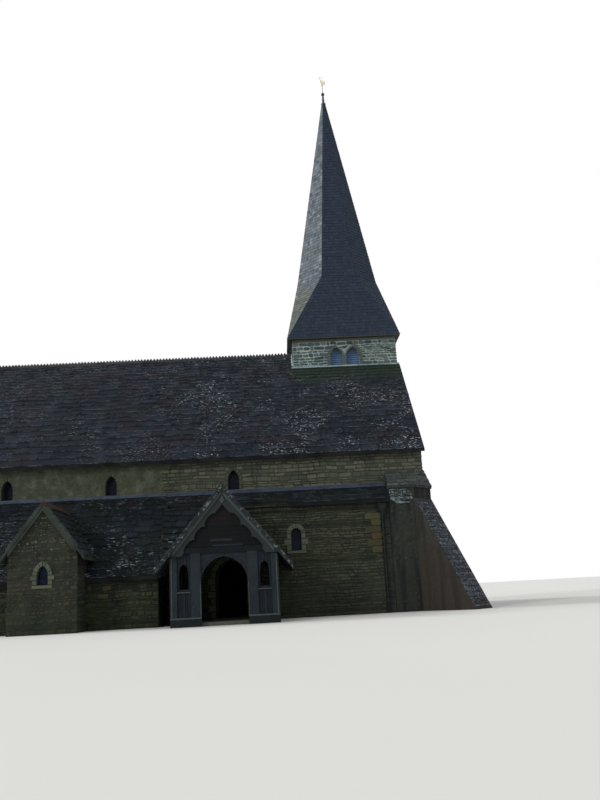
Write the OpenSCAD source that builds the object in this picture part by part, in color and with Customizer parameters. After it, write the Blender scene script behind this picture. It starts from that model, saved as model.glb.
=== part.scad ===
// Parish church of rubble stone with stone-slab roofs, a square tower with a shingled
// splay-foot spire and weathercock, and a timber-framed gabled porch.
// The north side, with the porch, faces -Y, and the tower stands at the west end, +X.
// The origin lies at ground level under the ridge, halfway along the nave.

/* [Nave] */
// Outside length of the nave from east to west
nave_l = 20100; // [18600:100:22000]
// Outside width of the nave
nave_w = 10000; // [9600:100:11000]
// Thickness of the nave walls
wall_t = 860; // [700:10:1000]
// Height of the nave wall heads under the roof
nave_wall_h = 6600; // [6400:5:6800]
// Slope of the nave roof
nave_slope = 1.08; // [1.06:0.01:1.1]
// Reach of the nave eaves past the wall
nave_eave_out = 300; // [200:10:400]
// Reach of the nave and aisle roofs past the gable walls
verge_out = 110; // [60:10:200]
// Plumb thickness of a large roof, slabs and boards together
roof_t = 120; // [100:5:180]
// Height of the clerestory wall that shows over the aisle roofs
clerestory_h = 1550; // [1450:5:1650]
// Depth below the aisle roofs' top line where the clerestory stands on the arcade
arcade_under = 450; // [350:10:550]
// Thickness of the stone floor
floor_t = 150; // [100:10:200]
// Reach of the ridge tiles down each slope
ridge_reach = 150; // [100:10:180]
// Plumb thickness of the ridge tiles
ridge_t = 50; // [40:5:80]

/* [Windows and arches] */
// Middle of the east clerestory lancet
lancet_east_x = -6750; // [-7000:10:-6500]
// Middle of the middle clerestory lancet
lancet_mid_x = -2600; // [-2800:10:-2400]
// Middle of the west clerestory lancet
lancet_west_x = 2330; // [2200:10:2500]
// Width of a lancet
lancet_w = 450; // [350:10:550]
// Height of the lancet sills over the aisle roofs
sill_over = 50; // [20:5:120]
// Height of a lancet from sill to springing
lancet_jamb = 430; // [350:10:480]
// Rise of a lancet head
lancet_rise = 390; // [300:10:450]
// Width of an arcade arch
arch_w = 3200; // [2800:10:3400]
// Height of wall over an arcade arch
arch_over = 300; // [150:10:400]
// Rise of an arcade arch
arch_rise = 2700; // [2300:10:2750]
// Thickness of the leaded glass
glass_t = 20; // [12:2:30]

/* [Tower] */
// Width of each side of the tower
tower_w = 4930; // [4700:10:5100]
// Thickness of the tower walls
tower_t = 800; // [650:10:900]
// Rise of the tower walls over the nave ridge
tower_over = 380; // [280:10:700]
// Width of a belfry opening
bell_w = 600; // [500:10:640]
// Distance between the middles of a pair of belfry openings
bell_gap = 770; // [700:10:900]
// Depth of the belfry sills below the top of the tower
bell_drop = 1200; // [1150:10:1230]
// Height of a belfry opening from sill to springing
bell_jamb = 430; // [350:10:500]
// Rise of a belfry head
bell_rise = 450; // [400:10:500]
// Number of louvre boards in a belfry opening
louvre_n = 5; // [4:1:7]
// Thickness of a louvre board
louvre_t = 35; // [25:5:45]
// Depth of the louvre frames in the wall
louvre_depth = 160; // [120:10:220]
// Width of the arches under the tower
tower_arch_w = 2000; // [1600:10:2400]
// Springing of the arches under the tower
tower_arch_spring = 2200; // [1800:10:2600]
// Rise of the arches under the tower
tower_arch_rise = 1500; // [1200:10:1700]

/* [Spire] */
// Thickness of the timber plate on the tower
plate_t = 120; // [80:10:160]
// Reach of the spire's square foot past the tower
foot_out = 215; // [150:5:280]
// Height of the thin edge at the foot
foot_edge = 60; // [40:10:90]
// Height of the splay above the plate
splay_h = 3400; // [3000:10:3800]
// Half width of the octagon at the top of the splay
kink_r = 1980; // [1850:10:2100]
// Height of the straight octagon
spire_h = 10750; // [9500:50:11500]
// Half width of the octagon under its lead cap
tip_r = 95; // [80:5:120]
// Thickness of the spire with its boards and shingles
spire_t = 160; // [120:10:200]
// Share of the octagon's height that is hollow
hollow_share = 0.88; // [0.7:0.02:0.9]

/* [Weathercock] */
// Height of the lead cap
cap_h = 640; // [500:10:800]
// Height of the roll at the foot of the lead cap
cap_roll = 60; // [40:5:80]
// Radius of the ball over the cap
ball_r = 95; // [70:5:120]
// Radius of the spindle
spindle_r = 14; // [12:1:18]
// Height of the collar above the ball
collar_up = 590; // [450:10:700]
// Thickness of the collar that the sleeve turns on
collar_t = 30; // [20:2:40]
// Height of the spindle above the sleeve
spindle_end = 60; // [40:10:120]
// Clearance of the sleeve round the spindle
sleeve_gap = 1; // [0.5:0.5:2]
// Wall of the sleeve
sleeve_t = 12; // [8:1:16]
// Length of the sleeve
sleeve_h = 420; // [360:10:480]
// Gap under the sleeve above its collar
collar_gap = 5; // [5:1:8]
// Thickness of the gilt plate
cock_t = 14; // [10:1:20]
// Length of the cock from beak to tail
cock_l = 660; // [600:10:700]
// Turn of the cock at rest, from the length of the nave
cock_turn = 52; // [0:1:359]

/* [Aisles] */
// Reach of the aisle walls from the nave wall
aisle_w = 2750; // [2600:10:2900]
// Thickness of the aisle walls
aisle_t = 600; // [500:10:700]
// Slope of the aisle roofs
lean_slope = 1.08; // [1.04:0.01:1.1]
// Reach of the aisle eaves past the wall
aisle_eave_out = 250; // [150:10:300]
// West end of the north aisle
north_aisle_end = -350; // [-600:10:-300]
// West end of the south aisle
south_aisle_end = 4600; // [4200:10:4900]
// Plumb thickness of the small roofs
small_roof_t = 120; // [100:10:160]

/* [Gabled chapel] */
// Middle of the gabled chapel
chapel_x = -4150; // [-4600:10:-3900]
// Outside width of the chapel
chapel_w = 2400; // [2200:10:2600]
// Thickness of the chapel walls
chapel_t = 400; // [300:10:450]
// Reach of the chapel past the aisle wall
chapel_out = 1250; // [1100:10:1400]
// Depth of the chapel ridge below the aisle roof's top line
chapel_drop = 580; // [450:10:650]
// Slope of the chapel roof
chapel_slope = 1.31; // [1.25:0.01:1.35]
// Reach of the chapel verge on each side
chapel_eave_out = 250; // [200:10:300]
// Reach of the chapel roof past its gable
chapel_verge_out = 150; // [80:10:200]
// Width of the chapel lancet
chapel_lancet_w = 380; // [300:10:450]
// Sill of the chapel lancet
chapel_lancet_sill = 1650; // [1500:10:1750]
// Height of the chapel lancet from sill to springing
chapel_lancet_jamb = 330; // [250:10:400]
// Rise of the chapel lancet head
chapel_lancet_rise = 330; // [250:10:360]

/* [West bay] */
// Projection of the thick lower wall of the west bay
bay_t = 700; // [600:10:720]
// Reach of the west bay eaves past the wall
bay_eave_out = 200; // [120:10:240]
// Slope of the west bay roof
bay_slope = 0.75; // [0.7:0.05:0.9]
// Middle of the round-headed window
bay_window_x = 4740; // [4600:10:5000]
// Width of the round-headed window
bay_window_w = 390; // [300:10:450]
// Sill of the round-headed window
bay_window_sill = 2540; // [2400:10:2700]
// Height of the round-headed window from sill to springing
bay_window_jamb = 665; // [500:5:750]
// Width of the church doorway
door_w = 1200; // [1000:10:1300]
// Springing of the church doorway
door_spring = 1650; // [1500:10:1750]
// Rise of the church doorway head
door_rise = 660; // [590:10:700]
// Distance from the corner pier to the middle of the rainwater pipe
pipe_in = 320; // [200:10:500]
// Radius of the rainwater pipe
pipe_r = 50; // [35:5:60]
// Gap between the rainwater pipe and the wall
pipe_gap = 30; // [20:5:50]
// Height of a pipe bracket
bracket_h = 60; // [40:5:80]

/* [Corner buttress] */
// Length of the corner pier along the north wall
pier_l = 1570; // [1400:10:1700]
// Projection of the corner pier
pier_out = 750; // [740:10:900]
// Depth of the pier's top below the aisle roofs' top line
pier_drop = 270; // [200:10:350]
// Rise of the slabs on the pier
pier_slab_rise = 780; // [650:10:850]
// Lip of the slabs over the pier
slab_lip = 60; // [30:10:90]
// Projection of the pier past the west wall
pier_west = 260; // [200:10:350]
// Length of the cut corner that the raking buttress leans on
rake_w = 1188; // [1000:1:1250]
// Depth of the raking buttress's head below the pier's top
rake_drop = 410; // [300:10:800]
// Reach of the raking buttress along the ground
rake_reach = 2330; // [1900:10:2500]

/* [Porch] */
// Middle of the porch
porch_x = 2140; // [2100:10:2200]
// Depth of the porch from its front to the church wall
porch_d = 3800; // [3500:10:4100]
// Half width of the porch over its posts
porch_r = 1860; // [1800:10:1920]
// Half width of the porch roof
porch_roof_r = 2360; // [2300:10:2400]
// Height of the top of the porch wall plates
porch_plate_h = 2272; // [2200:2:2350]
// Slope of the porch roof
porch_slope = 1.19; // [1.17:0.01:1.21]
// Reach of the porch roof past its front frame
porch_verge = 180; // [150:10:300]
// Plumb thickness of the porch roof
porch_roof_t = 170; // [120:10:220]
// Plumb depth of a porch rafter
rafter_d = 155; // [120:5:200]
// Height that a rafter is notched over its wall plate
rafter_seat = 60; // [30:5:90]
// Depth of a porch wall plate
plate_d = 150; // [120:10:200]
// Width of a porch rafter
rafter_w = 110; // [80:10:140]
// Number of rafter pairs behind the front pair
rafter_n = 4; // [3:1:6]
// Thickness of the porch frame
frame_t = 180; // [140:10:220]
// Width of a corner post
post_w = 250; // [200:10:280]
// Half width of the porch doorway
porch_door_r = 800; // [760:10:840]
// Width of a door jamb post
jamb_w = 350; // [300:10:370]
// Depth of the porch door arch's springing below the tie beam
arch_drop = 1010; // [950:10:1100]
// Rise of the porch door arch
porch_arch_rise = 880; // [820:10:930]
// Reach of the arch board below its springing
arch_foot = 250; // [150:10:300]
// Height of the tie beam's underside over the top of the wall plates
tie_over = 148; // [100:2:200]
// Depth of the tie beam
tie_d = 200; // [160:10:220]
// Height of the ground sill
sill_h = 280; // [200:10:300]
// Height of boarding over a small opening in the porch sides
slit_over = 132; // [80:2:200]
// Depth of the rail over the boarded panels
rail_d = 90; // [60:10:120]
// Thickness of the boards
board_t = 60; // [40:5:80]
// Width of a small pointed opening
slit_w = 320; // [280:10:350]
// Height of a small opening above its rail to the springing
slit_jamb = 600; // [500:10:640]
// Rise of a small opening's head
slit_rise = 240; // [180:10:250]
// Number of small openings in each porch side
slit_n = 4; // [3:1:5]
// Height of the porch floor
porch_floor_t = 120; // [80:10:140]
// Depth of a bargeboard
barge_d = 330; // [280:10:360]
// Thickness of a bargeboard
barge_t = 50; // [40:5:70]
// Height of the bargeboards' level feet over the wall plates
barge_foot = 72; // [40:2:120]
// Length of a bargeboard's lower edge that is plain below the apex
apex_plain = 780; // [600:10:900]
// Length of a bargeboard's lower edge that is plain over its foot
foot_plain = 150; // [80:10:250]
// Number of hollows between cusps on each bargeboard
cusp_n = 3; // [2:1:5]
// Share of a cusp's length that its hollow takes
hollow_w = 0.94; // [0.8:0.02:0.96]
// Depth of a cusp's hollow as a share of its half length
hollow_d = 0.4; // [0.3:0.05:0.6]
// Reach of the bargeboards past the corner posts
barge_past = 40; // [0:10:80]
// Clearance where one seated piece is cut to another
fit_gap = 0.1; // [0.1:0.1:0.5]

/* [Hidden] */
$fn = 48;

half_l = nave_l / 2;
half_w = nave_w / 2;
eave_y = half_w + nave_eave_out;
nave_ridge_h = nave_wall_h + roof_t + nave_slope * half_w;
lean_top = nave_wall_h - clerestory_h;
arcade_h = lean_top - arcade_under;
arch_spring = arcade_h - arch_over - arch_rise;
lancet_sill = lean_top + sill_over;
chapel_ridge_h = lean_top - chapel_drop;
pier_h = lean_top - pier_drop;
rake_h = pier_h - rake_drop;
tower_e = half_l - tower_w;
tower_s = half_w - wall_t;
tower_n = tower_s - tower_w;
tower_x = half_l - tower_w / 2;
tower_y = tower_s - tower_w / 2;
aisle_y = half_w + aisle_w;
chapel_y = -aisle_y - chapel_out;
bay_y = -half_w - bay_t;
bay_eave_h = lean_top - bay_slope * (bay_t + bay_eave_out);
bay_end = half_l - pier_l;
pipe_x = bay_end - pipe_in;
tower_h = nave_ridge_h + tower_over;
foot_r = tower_w / 2 + foot_out;
bell_sill = tower_h - bell_drop;
plate_top = tower_h + plate_t;
kink_h = plate_top + splay_h;
tip_h = kink_h + spire_h;
ball_h = tip_h + cap_h;
collar_h = ball_h + collar_up;
spindle_top = collar_h + collar_gap + sleeve_h + spindle_end;
porch_y = bay_y - porch_d;
porch_ridge_h = porch_plate_h - rafter_seat + rafter_d + porch_roof_t + porch_slope * porch_r;
tie_h = porch_plate_h + tie_over;
porch_arch_spring = tie_h - arch_drop;
dado_h = porch_plate_h - plate_d - slit_over - slit_rise - slit_jamb;
bell_arc = (bell_w * bell_w / 4 + bell_rise * bell_rise) / bell_w;
lancets = [lancet_east_x, lancet_mid_x, lancet_west_x];
past = 100;

function nave_z(y) = nave_ridge_h - nave_slope * abs(y);
function lean_z(y) = lean_top - lean_slope * (abs(y) - half_w);
function bay_z(y) = lean_top - bay_slope * (abs(y) - half_w);
function chapel_z(x) = chapel_ridge_h - chapel_slope * abs(x);
function porch_z(x) = porch_ridge_h - porch_slope * abs(x);
function porch_under(x) = porch_z(x) - porch_roof_t - rafter_d;

// An outline of Y and Z drawn out along X
module along_x(x0, x1) {
    translate([x0, 0, 0]) rotate([90, 0, 90]) linear_extrude(x1 - x0) children();
}

// An outline of X and Z drawn out along Y
module along_y(y0, y1) {
    translate([0, y1, 0]) rotate([90, 0, 0]) linear_extrude(y1 - y0) children();
}

module block(low, high) {
    translate(low) cube(high - low);
}

// Pointed opening of two arcs over straight jambs
module pointed(w, sill, spring, rise) {
    r = (w * w / 4 + rise * rise) / w;
    translate([-w / 2, sill]) square([w, spring - sill]);
    intersection() {
        translate([r - w / 2, spring]) circle(r);
        translate([w / 2 - r, spring]) circle(r);
        translate([-w, spring]) square([2 * w, rise + 1]);
    }
}

module round_headed(w, sill, spring) {
    translate([-w / 2, sill]) square([w, spring - sill]);
    translate([0, spring]) intersection() {
        circle(w / 2);
        translate([-w / 2, 0]) square([w, w]);
    }
}

module lancet() pointed(lancet_w, lancet_sill, lancet_sill + lancet_jamb, lancet_rise);
module arcade_arch() pointed(arch_w, floor_t, arch_spring, arch_rise);
module bell_light() pointed(bell_w, bell_sill, bell_sill + bell_jamb, bell_rise);
module tower_arch() pointed(tower_arch_w, floor_t, tower_arch_spring, tower_arch_rise);
module doorway() pointed(door_w, floor_t, door_spring, door_rise);
module bay_window() round_headed(bay_window_w, bay_window_sill, bay_window_sill + bay_window_jamb);
module chapel_lancet() pointed(chapel_lancet_w, chapel_lancet_sill,
    chapel_lancet_sill + chapel_lancet_jamb, chapel_lancet_rise);
module slit(base) pointed(slit_w, base, base + slit_jamb, slit_rise);

module church_floor() color("gray") {
    difference() {
        block([-half_l + wall_t, -half_w + wall_t, 0], [half_l - wall_t, half_w - wall_t, floor_t]);
        block([tower_e, tower_n, -past], [half_l, tower_s + past, floor_t + past]);
    }
    block([tower_e + tower_t, tower_n + tower_t, 0], [half_l - tower_t, tower_s - tower_t, floor_t]);
    block([-half_l + aisle_t, -aisle_y + aisle_t, 0], [north_aisle_end - aisle_t, -half_w, floor_t]);
    block([-half_l + aisle_t, half_w, 0], [south_aisle_end - aisle_t, aisle_y - aisle_t, floor_t]);
    block([chapel_x - chapel_w / 2 + chapel_t, chapel_y + chapel_t, 0],
        [chapel_x + chapel_w / 2 - chapel_t, -aisle_y + aisle_t, floor_t]);
}

// Lower nave wall up to the clerestory
module low_wall(y0, x1) {
    block([-half_l + wall_t, y0, 0], [x1, y0 + wall_t, arcade_h]);
}

module nave_north_arcade() color("burlywood") difference() {
    low_wall(-half_w, half_l - wall_t);
    along_y(-half_w - past, -half_w + wall_t + past) {
        for (x = [lancet_east_x, lancet_mid_x]) translate([x, 0]) arcade_arch();
        translate([porch_x, 0]) doorway();
        translate([bay_window_x, 0]) bay_window();
    }
}

module nave_south_arcade() color("burlywood") difference() {
    low_wall(half_w - wall_t, half_l);
    along_y(half_w - wall_t - past, half_w + past)
        for (x = lancets) translate([x, 0]) arcade_arch();
}

// Clerestory wall on one side, with its top cut to the roof
module clerestory(side, x1) {
    outer = side * half_w;
    inner = side * (half_w - wall_t);
    difference() {
        along_x(-half_l + wall_t, x1) polygon([
            [outer, arcade_h], [outer, nave_z(outer) - roof_t],
            [inner, nave_z(inner) - roof_t], [inner, arcade_h]
        ]);
        along_y(min(outer, inner) - past, max(outer, inner) + past)
            for (x = lancets) translate([x, 0]) lancet();
    }
}

module nave_north_clerestory() color("burlywood") clerestory(-1, half_l - wall_t);
module nave_south_clerestory() color("burlywood") clerestory(1, half_l);

module nave_east_wall() color("burlywood") difference() {
    along_x(-half_l, -half_l + wall_t) polygon([
        [-half_w, 0], [-half_w, nave_z(half_w) - roof_t], [0, nave_ridge_h - roof_t],
        [half_w, nave_z(half_w) - roof_t], [half_w, 0]
    ]);
    along_x(-half_l - past, -half_l + wall_t + past) east_lights();
}

module east_lights() for (s = [-1, 0, 1]) translate([s * lancet_w * 3, 0]) lancet();

module nave_west_wall() color("burlywood") along_x(half_l - wall_t, half_l) polygon([
    [-half_w, 0], [-half_w, nave_z(half_w) - roof_t], [tower_n, nave_z(tower_n) - roof_t],
    [tower_n, 0]
]);

// One slope of the nave roof, cut round the tower
module nave_slope(side) difference() {
    along_x(-half_l - verge_out, half_l + verge_out) polygon([
        [0, nave_ridge_h], [side * eave_y, nave_z(eave_y)],
        [side * eave_y, nave_z(eave_y) - roof_t], [0, nave_ridge_h - roof_t]
    ]);
    block([tower_e, tower_n, 0], [half_l + verge_out + past, tower_s, nave_ridge_h + past]);
}

module nave_roof_north() color("dimgray") nave_slope(-1);
module nave_roof_south() color("dimgray") nave_slope(1);

module nave_ridge_tiles() color("darkgray") {
    foot = nave_z(ridge_reach);
    along_x(-half_l - verge_out, tower_e) polygon([
        [0, nave_ridge_h], [ridge_reach, foot], [ridge_reach, foot + ridge_t],
        [0, nave_ridge_h + ridge_t], [-ridge_reach, foot + ridge_t], [-ridge_reach, foot]
    ]);
}

// The pair of belfry openings in a wall that faces along Y
module bell_pair() for (s = [-1, 1]) translate([s * bell_gap / 2, 0]) bell_light();

module tower_north_wall() color("tan") difference() {
    block([tower_e, tower_n, 0], [half_l, tower_n + tower_t, tower_h]);
    along_y(tower_n - past, tower_n + tower_t + past) translate([tower_x, 0]) {
        bell_pair();
        tower_arch();
    }
}

module tower_south_wall() color("tan") difference() {
    block([tower_e, tower_s - tower_t, 0], [half_l, tower_s, tower_h]);
    along_y(tower_s - tower_t - past, tower_s + past) translate([tower_x, 0]) bell_pair();
}

module tower_east_wall() color("tan") difference() {
    block([tower_e, tower_n + tower_t, 0], [tower_e + tower_t, tower_s - tower_t, tower_h]);
    along_x(tower_e - past, tower_e + tower_t + past) translate([tower_y, 0]) {
        bell_pair();
        tower_arch();
    }
}

module tower_west_wall() color("tan") difference() {
    block([half_l - tower_t, tower_n + tower_t, 0], [half_l, tower_s - tower_t, tower_h]);
    along_x(half_l - tower_t - past, half_l + past) translate([tower_y, 0]) {
        bell_pair();
        lancet();
    }
}

// Half width of a belfry opening at a height above its sill
function bell_half(z) = z <= bell_jamb ? bell_w / 2
    : sqrt(pow(bell_arc, 2) - pow(z - bell_jamb, 2)) - bell_arc + bell_w / 2;

// Sloping louvre boards on a back batten, for one opening that faces -Y at y = 0
module louvres() {
    pitch = (bell_jamb + bell_rise) / louvre_n;
    climb = louvre_depth / 2;
    translate([0, 0, bell_sill]) {
        for (i = [0 : louvre_n - 1]) {
            half = bell_half(i * pitch + climb + louvre_t);
            along_x(-half, half) polygon([
                [0, i * pitch], [0, i * pitch + louvre_t], [louvre_depth, i * pitch + climb + louvre_t],
                [louvre_depth, i * pitch + climb]
            ]);
        }
        block([-louvre_t, louvre_depth - louvre_t, 0],
            [louvre_t, louvre_depth + louvre_t, (louvre_n - 1) * pitch + climb + louvre_t]);
    }
}

module belfry_louvres() color("slategray") for (face = [0 : 3], s = [-1, 1])
    translate([tower_x, tower_y, 0]) rotate([0, 0, face * 90])
        translate([s * bell_gap / 2, -tower_w / 2 + tower_t / 4, 0]) louvres();

module square_ring(outer, inner, z0, z1) difference() {
    translate([-outer, -outer, z0]) cube([2 * outer, 2 * outer, z1 - z0]);
    translate([-inner, -inner, z0 - past]) cube([2 * inner, 2 * inner, z1 - z0 + 2 * past]);
}

module spire_plate() color("sienna") translate([tower_x, tower_y, 0])
    square_ring(tower_w / 2, tower_w / 2 - tower_t, tower_h, plate_top);

module octagon(r, z, t) translate([0, 0, z]) rotate([0, 0, 22.5])
    cylinder(r = r / cos(22.5), h = t, $fn = 8);

// Splay from the square foot up to the octagon, drawn in by inset
module splay(inset, low, high) hull() {
    foot = foot_r - inset;
    translate([-foot, -foot, low]) cube([2 * foot, 2 * foot, foot_edge]);
    octagon(kink_r - inset, high - 1, 1);
}

module spire_splay() color("darkslategray") translate([tower_x, tower_y, 0]) difference() {
    splay(0, plate_top, kink_h);
    splay(spire_t * 2, plate_top - foot_edge - 1, kink_h + past);
}

module spire_octagon() color("darkslategray") translate([tower_x, tower_y, 0]) difference() {
    translate([0, 0, kink_h]) rotate([0, 0, 22.5])
        cylinder(r1 = kink_r / cos(22.5), r2 = tip_r / cos(22.5), h = spire_h, $fn = 8);
    translate([0, 0, kink_h - 1]) rotate([0, 0, 22.5])
        cylinder(r1 = (kink_r - spire_t) / cos(22.5), r2 = 10, h = spire_h * hollow_share, $fn = 8);
}

module spire_finial() color("gray") translate([tower_x, tower_y, 0]) rotate_extrude() polygon([
    [0, tip_h + fit_gap], [tip_r + cap_roll / 2, tip_h + fit_gap], [tip_r + cap_roll / 2, tip_h + cap_roll],
    [tip_r - cap_roll / 3, tip_h + 2 * cap_roll], [tip_r / 2, ball_h - ball_r],
    for (a = [-75 : 15 : 75]) [ball_r * cos(a), ball_h + ball_r * sin(a)],
    [spindle_r, ball_h + ball_r], [spindle_r, collar_h - collar_t], [spindle_r * 2.5, collar_h - collar_t],
    [spindle_r * 2.5, collar_h], [spindle_r, collar_h], [spindle_r, spindle_top], [0, spindle_top]
]);

// Outline of the cock, looking left, from the middle of its sleeve
module cock_outline() {
    k = cock_l / 660;
    scale([k, k]) {
        translate([-40, 150]) scale([1.5, 1]) circle(95);
        hull() {
            translate([-110, 180]) circle(60);
            translate([-190, 290]) circle(34);
        }
        translate([-200, 315]) circle(46);
        polygon([[-238, 335], [-300, 305], [-235, 295]]);
        polygon([[-232, 345], [-226, 392], [-205, 366], [-190, 396], [-176, 362], [-158, 378], [-160, 330]]);
        polygon([[-225, 285], [-232, 240], [-196, 275]]);
        difference() {
            translate([130, 230]) circle(150);
            translate([60, 300]) circle(105);
            translate([-40, 60]) square([330, 60]);
        }
        polygon([[200, 340], [330, 370], [262, 250]]);
        polygon([[215, 250], [360, 250], [240, 160]]);
        polygon([[-60, 80], [-30, 0], [10, 0], [30, 80]]);
    }
}

module weathercock() color("gold") translate([tower_x, tower_y, collar_h + collar_gap])
    rotate([0, 0, cock_turn]) difference() {
        union() {
            cylinder(r = spindle_r + sleeve_gap + sleeve_t, h = sleeve_h);
            translate([0, cock_t / 2, 0]) rotate([90, 0, 0]) linear_extrude(cock_t) cock_outline();
        }
        translate([0, 0, -past]) cylinder(r = spindle_r + sleeve_gap, h = sleeve_h + 2 * past);
    }

// Lean-to roof on one side between two ends
module lean_roof(side, x0, x1) {
    tip = aisle_y + aisle_eave_out;
    along_x(x0, x1) polygon([
        [side * half_w, lean_top], [side * tip, lean_z(tip)],
        [side * tip, lean_z(tip) - roof_t], [side * half_w, lean_top - roof_t]
    ]);
}

module aisle_wall(side, x1) along_x(-half_l, x1) polygon([
    [side * aisle_y, 0], [side * aisle_y, lean_z(aisle_y) - roof_t],
    [side * (aisle_y - aisle_t), lean_z(aisle_y - aisle_t) - roof_t], [side * (aisle_y - aisle_t), 0]
]);

module aisle_ends(side, x1) for (x = [-half_l, x1 - aisle_t]) along_x(x, x + aisle_t) polygon([
    [side * (aisle_y - aisle_t), 0],
    [side * (aisle_y - aisle_t), lean_z(aisle_y - aisle_t) - roof_t],
    [side * half_w, lean_top - roof_t], [side * half_w, 0]
]);

// Outline of the chapel below its roof, drawn in by inset
module chapel_outline(inset) {
    r = chapel_w / 2 - inset;
    translate([chapel_x, 0]) polygon([
        [-r, 0], [-r, chapel_z(r) - small_roof_t], [0, chapel_ridge_h - small_roof_t],
        [r, chapel_z(r) - small_roof_t], [r, 0]
    ]);
}

// Everything under the top of the north aisle roof behind the line y0
module under_lean(y0) along_x(-half_l - nave_l, half_l) polygon([
    [y0, -past], [y0, lean_z(y0)], [-half_w + past, lean_z(-half_w + past)], [-half_w + past, -past]
]);

module north_aisle_wall() color("wheat") difference() {
    aisle_wall(-1, north_aisle_end);
    along_y(-aisle_y - past, -aisle_y + aisle_t + past) chapel_outline(chapel_t);
}

module aisle_end_walls() color("wheat") {
    aisle_ends(-1, north_aisle_end);
    aisle_ends(1, south_aisle_end);
}

module north_aisle_roof() color("dimgray") difference() {
    lean_roof(-1, -half_l - verge_out, north_aisle_end);
    along_y(chapel_y, -half_w) chapel_outline(chapel_t);
    along_y(chapel_y, -aisle_y) chapel_outline(0);
}

module chapel_walls() color("burlywood") difference() {
    along_y(chapel_y, -half_w) chapel_outline(0);
    along_y(chapel_y + chapel_t, -half_w + past) chapel_outline(chapel_t);
    under_lean(-aisle_y);
    along_y(chapel_y - past, chapel_y + chapel_t + past) translate([chapel_x, 0]) chapel_lancet();
}

module chapel_roof() color("dimgray") difference() {
    tip = chapel_w / 2 + chapel_eave_out;
    along_y(chapel_y - chapel_verge_out, -half_w) translate([chapel_x, 0]) polygon([
        [-tip, chapel_z(tip)], [0, chapel_ridge_h], [tip, chapel_z(tip)],
        [tip, chapel_z(tip) - small_roof_t], [0, chapel_ridge_h - small_roof_t],
        [-tip, chapel_z(tip) - small_roof_t]
    ]);
    under_lean(-aisle_y - aisle_eave_out);
}

module south_aisle_wall() color("wheat") aisle_wall(1, south_aisle_end);
module south_aisle_roof() color("dimgray")
    lean_roof(1, -half_l - verge_out, south_aisle_end + verge_out);

module west_bay_wall() color("tan") difference() {
    along_x(north_aisle_end, bay_end) polygon([
        [bay_y, 0], [bay_y, bay_z(bay_y) - small_roof_t], [-half_w, lean_top - small_roof_t], [-half_w, 0]
    ]);
    along_y(bay_y - past, -half_w + past) {
        translate([porch_x, 0]) doorway();
        translate([bay_window_x, 0]) bay_window();
    }
}

// The west bay roof, with its eaves cut back over the porch
module west_bay_roof() color("dimgray") difference() {
    tip = bay_y - bay_eave_out;
    along_x(north_aisle_end, bay_end) polygon([
        [-half_w, lean_top], [tip, bay_eave_h], [tip, bay_eave_h - small_roof_t],
        [-half_w, lean_top - small_roof_t]
    ]);
    block([porch_x - porch_roof_r, tip - past, 0], [porch_x + porch_roof_r, bay_y, lean_top]);
}

module window_glass() color("lightblue") {
    for (side = [-1, 1], x = lancets)
        along_y(side * (half_w - wall_t / 2) - glass_t / 2, side * (half_w - wall_t / 2) + glass_t / 2)
            translate([x, 0]) lancet();
    along_x(-half_l + wall_t / 2, -half_l + wall_t / 2 + glass_t) east_lights();
    along_x(half_l - tower_t / 2, half_l - tower_t / 2 + glass_t) translate([tower_y, 0]) lancet();
    along_y(bay_y + bay_t / 2, bay_y + bay_t / 2 + glass_t) translate([bay_window_x, 0]) bay_window();
    along_y(chapel_y + chapel_t / 2, chapel_y + chapel_t / 2 + glass_t)
        translate([chapel_x, 0]) chapel_lancet();
}

module rainwater_pipe() color("dimgray") {
    top = bay_eave_h - small_roof_t - bracket_h;
    axis_y = bay_y - pipe_r - pipe_gap;
    half = pipe_r + pipe_gap / 2;
    translate([pipe_x, axis_y, 0]) cylinder(r = pipe_r, h = top);
    for (z = [top / 10, top / 2, top - bracket_h * 3 / 2])
        block([pipe_x - half, axis_y - half, z], [pipe_x + half, bay_y, z + bracket_h]);
}

// Plan of the corner pier, with its cut corner, widened by a lip
module pier_plan(lip) {
    cut = rake_w / sqrt(2);
    polygon([
        [bay_end, -half_w], [bay_end, -half_w - pier_out - lip],
        [half_l + pier_west + lip / 2 - cut, -half_w - pier_out - lip],
        [half_l + pier_west + lip, -half_w - pier_out + cut - lip / 2],
        [half_l + pier_west + lip, -half_w + pier_west],
        [half_l, -half_w + pier_west], [half_l, -half_w]
    ]);
}

module corner_pier() color("tan") linear_extrude(pier_h) pier_plan(0);

module pier_weathering() color("gray") difference() {
    hull() {
        translate([0, 0, pier_h]) linear_extrude(slab_lip) pier_plan(slab_lip);
        block([bay_end, -half_w - 1, pier_h], [half_l + 1, -half_w + pier_west, pier_h + pier_slab_rise]);
    }
    block([0, -half_w, 0], [half_l, 0, nave_ridge_h]);
}

// The raking buttress leans on the cut corner and runs out diagonally
module raking_buttress() color("tan") {
    cut = rake_w / sqrt(2);
    translate([half_l + pier_west - cut / 2, -half_w - pier_out + cut / 2, 0]) rotate([0, 0, -45])
        along_y(-rake_w / 2, rake_w / 2) polygon([[0, 0], [rake_reach, 0], [0, rake_h]]);
}

module porch_floor() color("gray")
    block([porch_x - porch_r + frame_t, porch_y + frame_t, 0],
        [porch_x + porch_r - frame_t, bay_y, porch_floor_t]);

// Ground sills under the sides and under the front beside the doorway
module porch_sills() color("sienna") for (s = [-1, 1]) translate([porch_x, 0, 0]) {
    x0 = s * porch_r;
    x1 = s * (porch_r - frame_t);
    x2 = s * porch_door_r;
    block([min(x0, x1), porch_y + frame_t, 0], [max(x0, x1), bay_y, sill_h]);
    block([min(x0, x2), porch_y, 0], [max(x0, x2), porch_y + frame_t, sill_h]);
}

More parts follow.
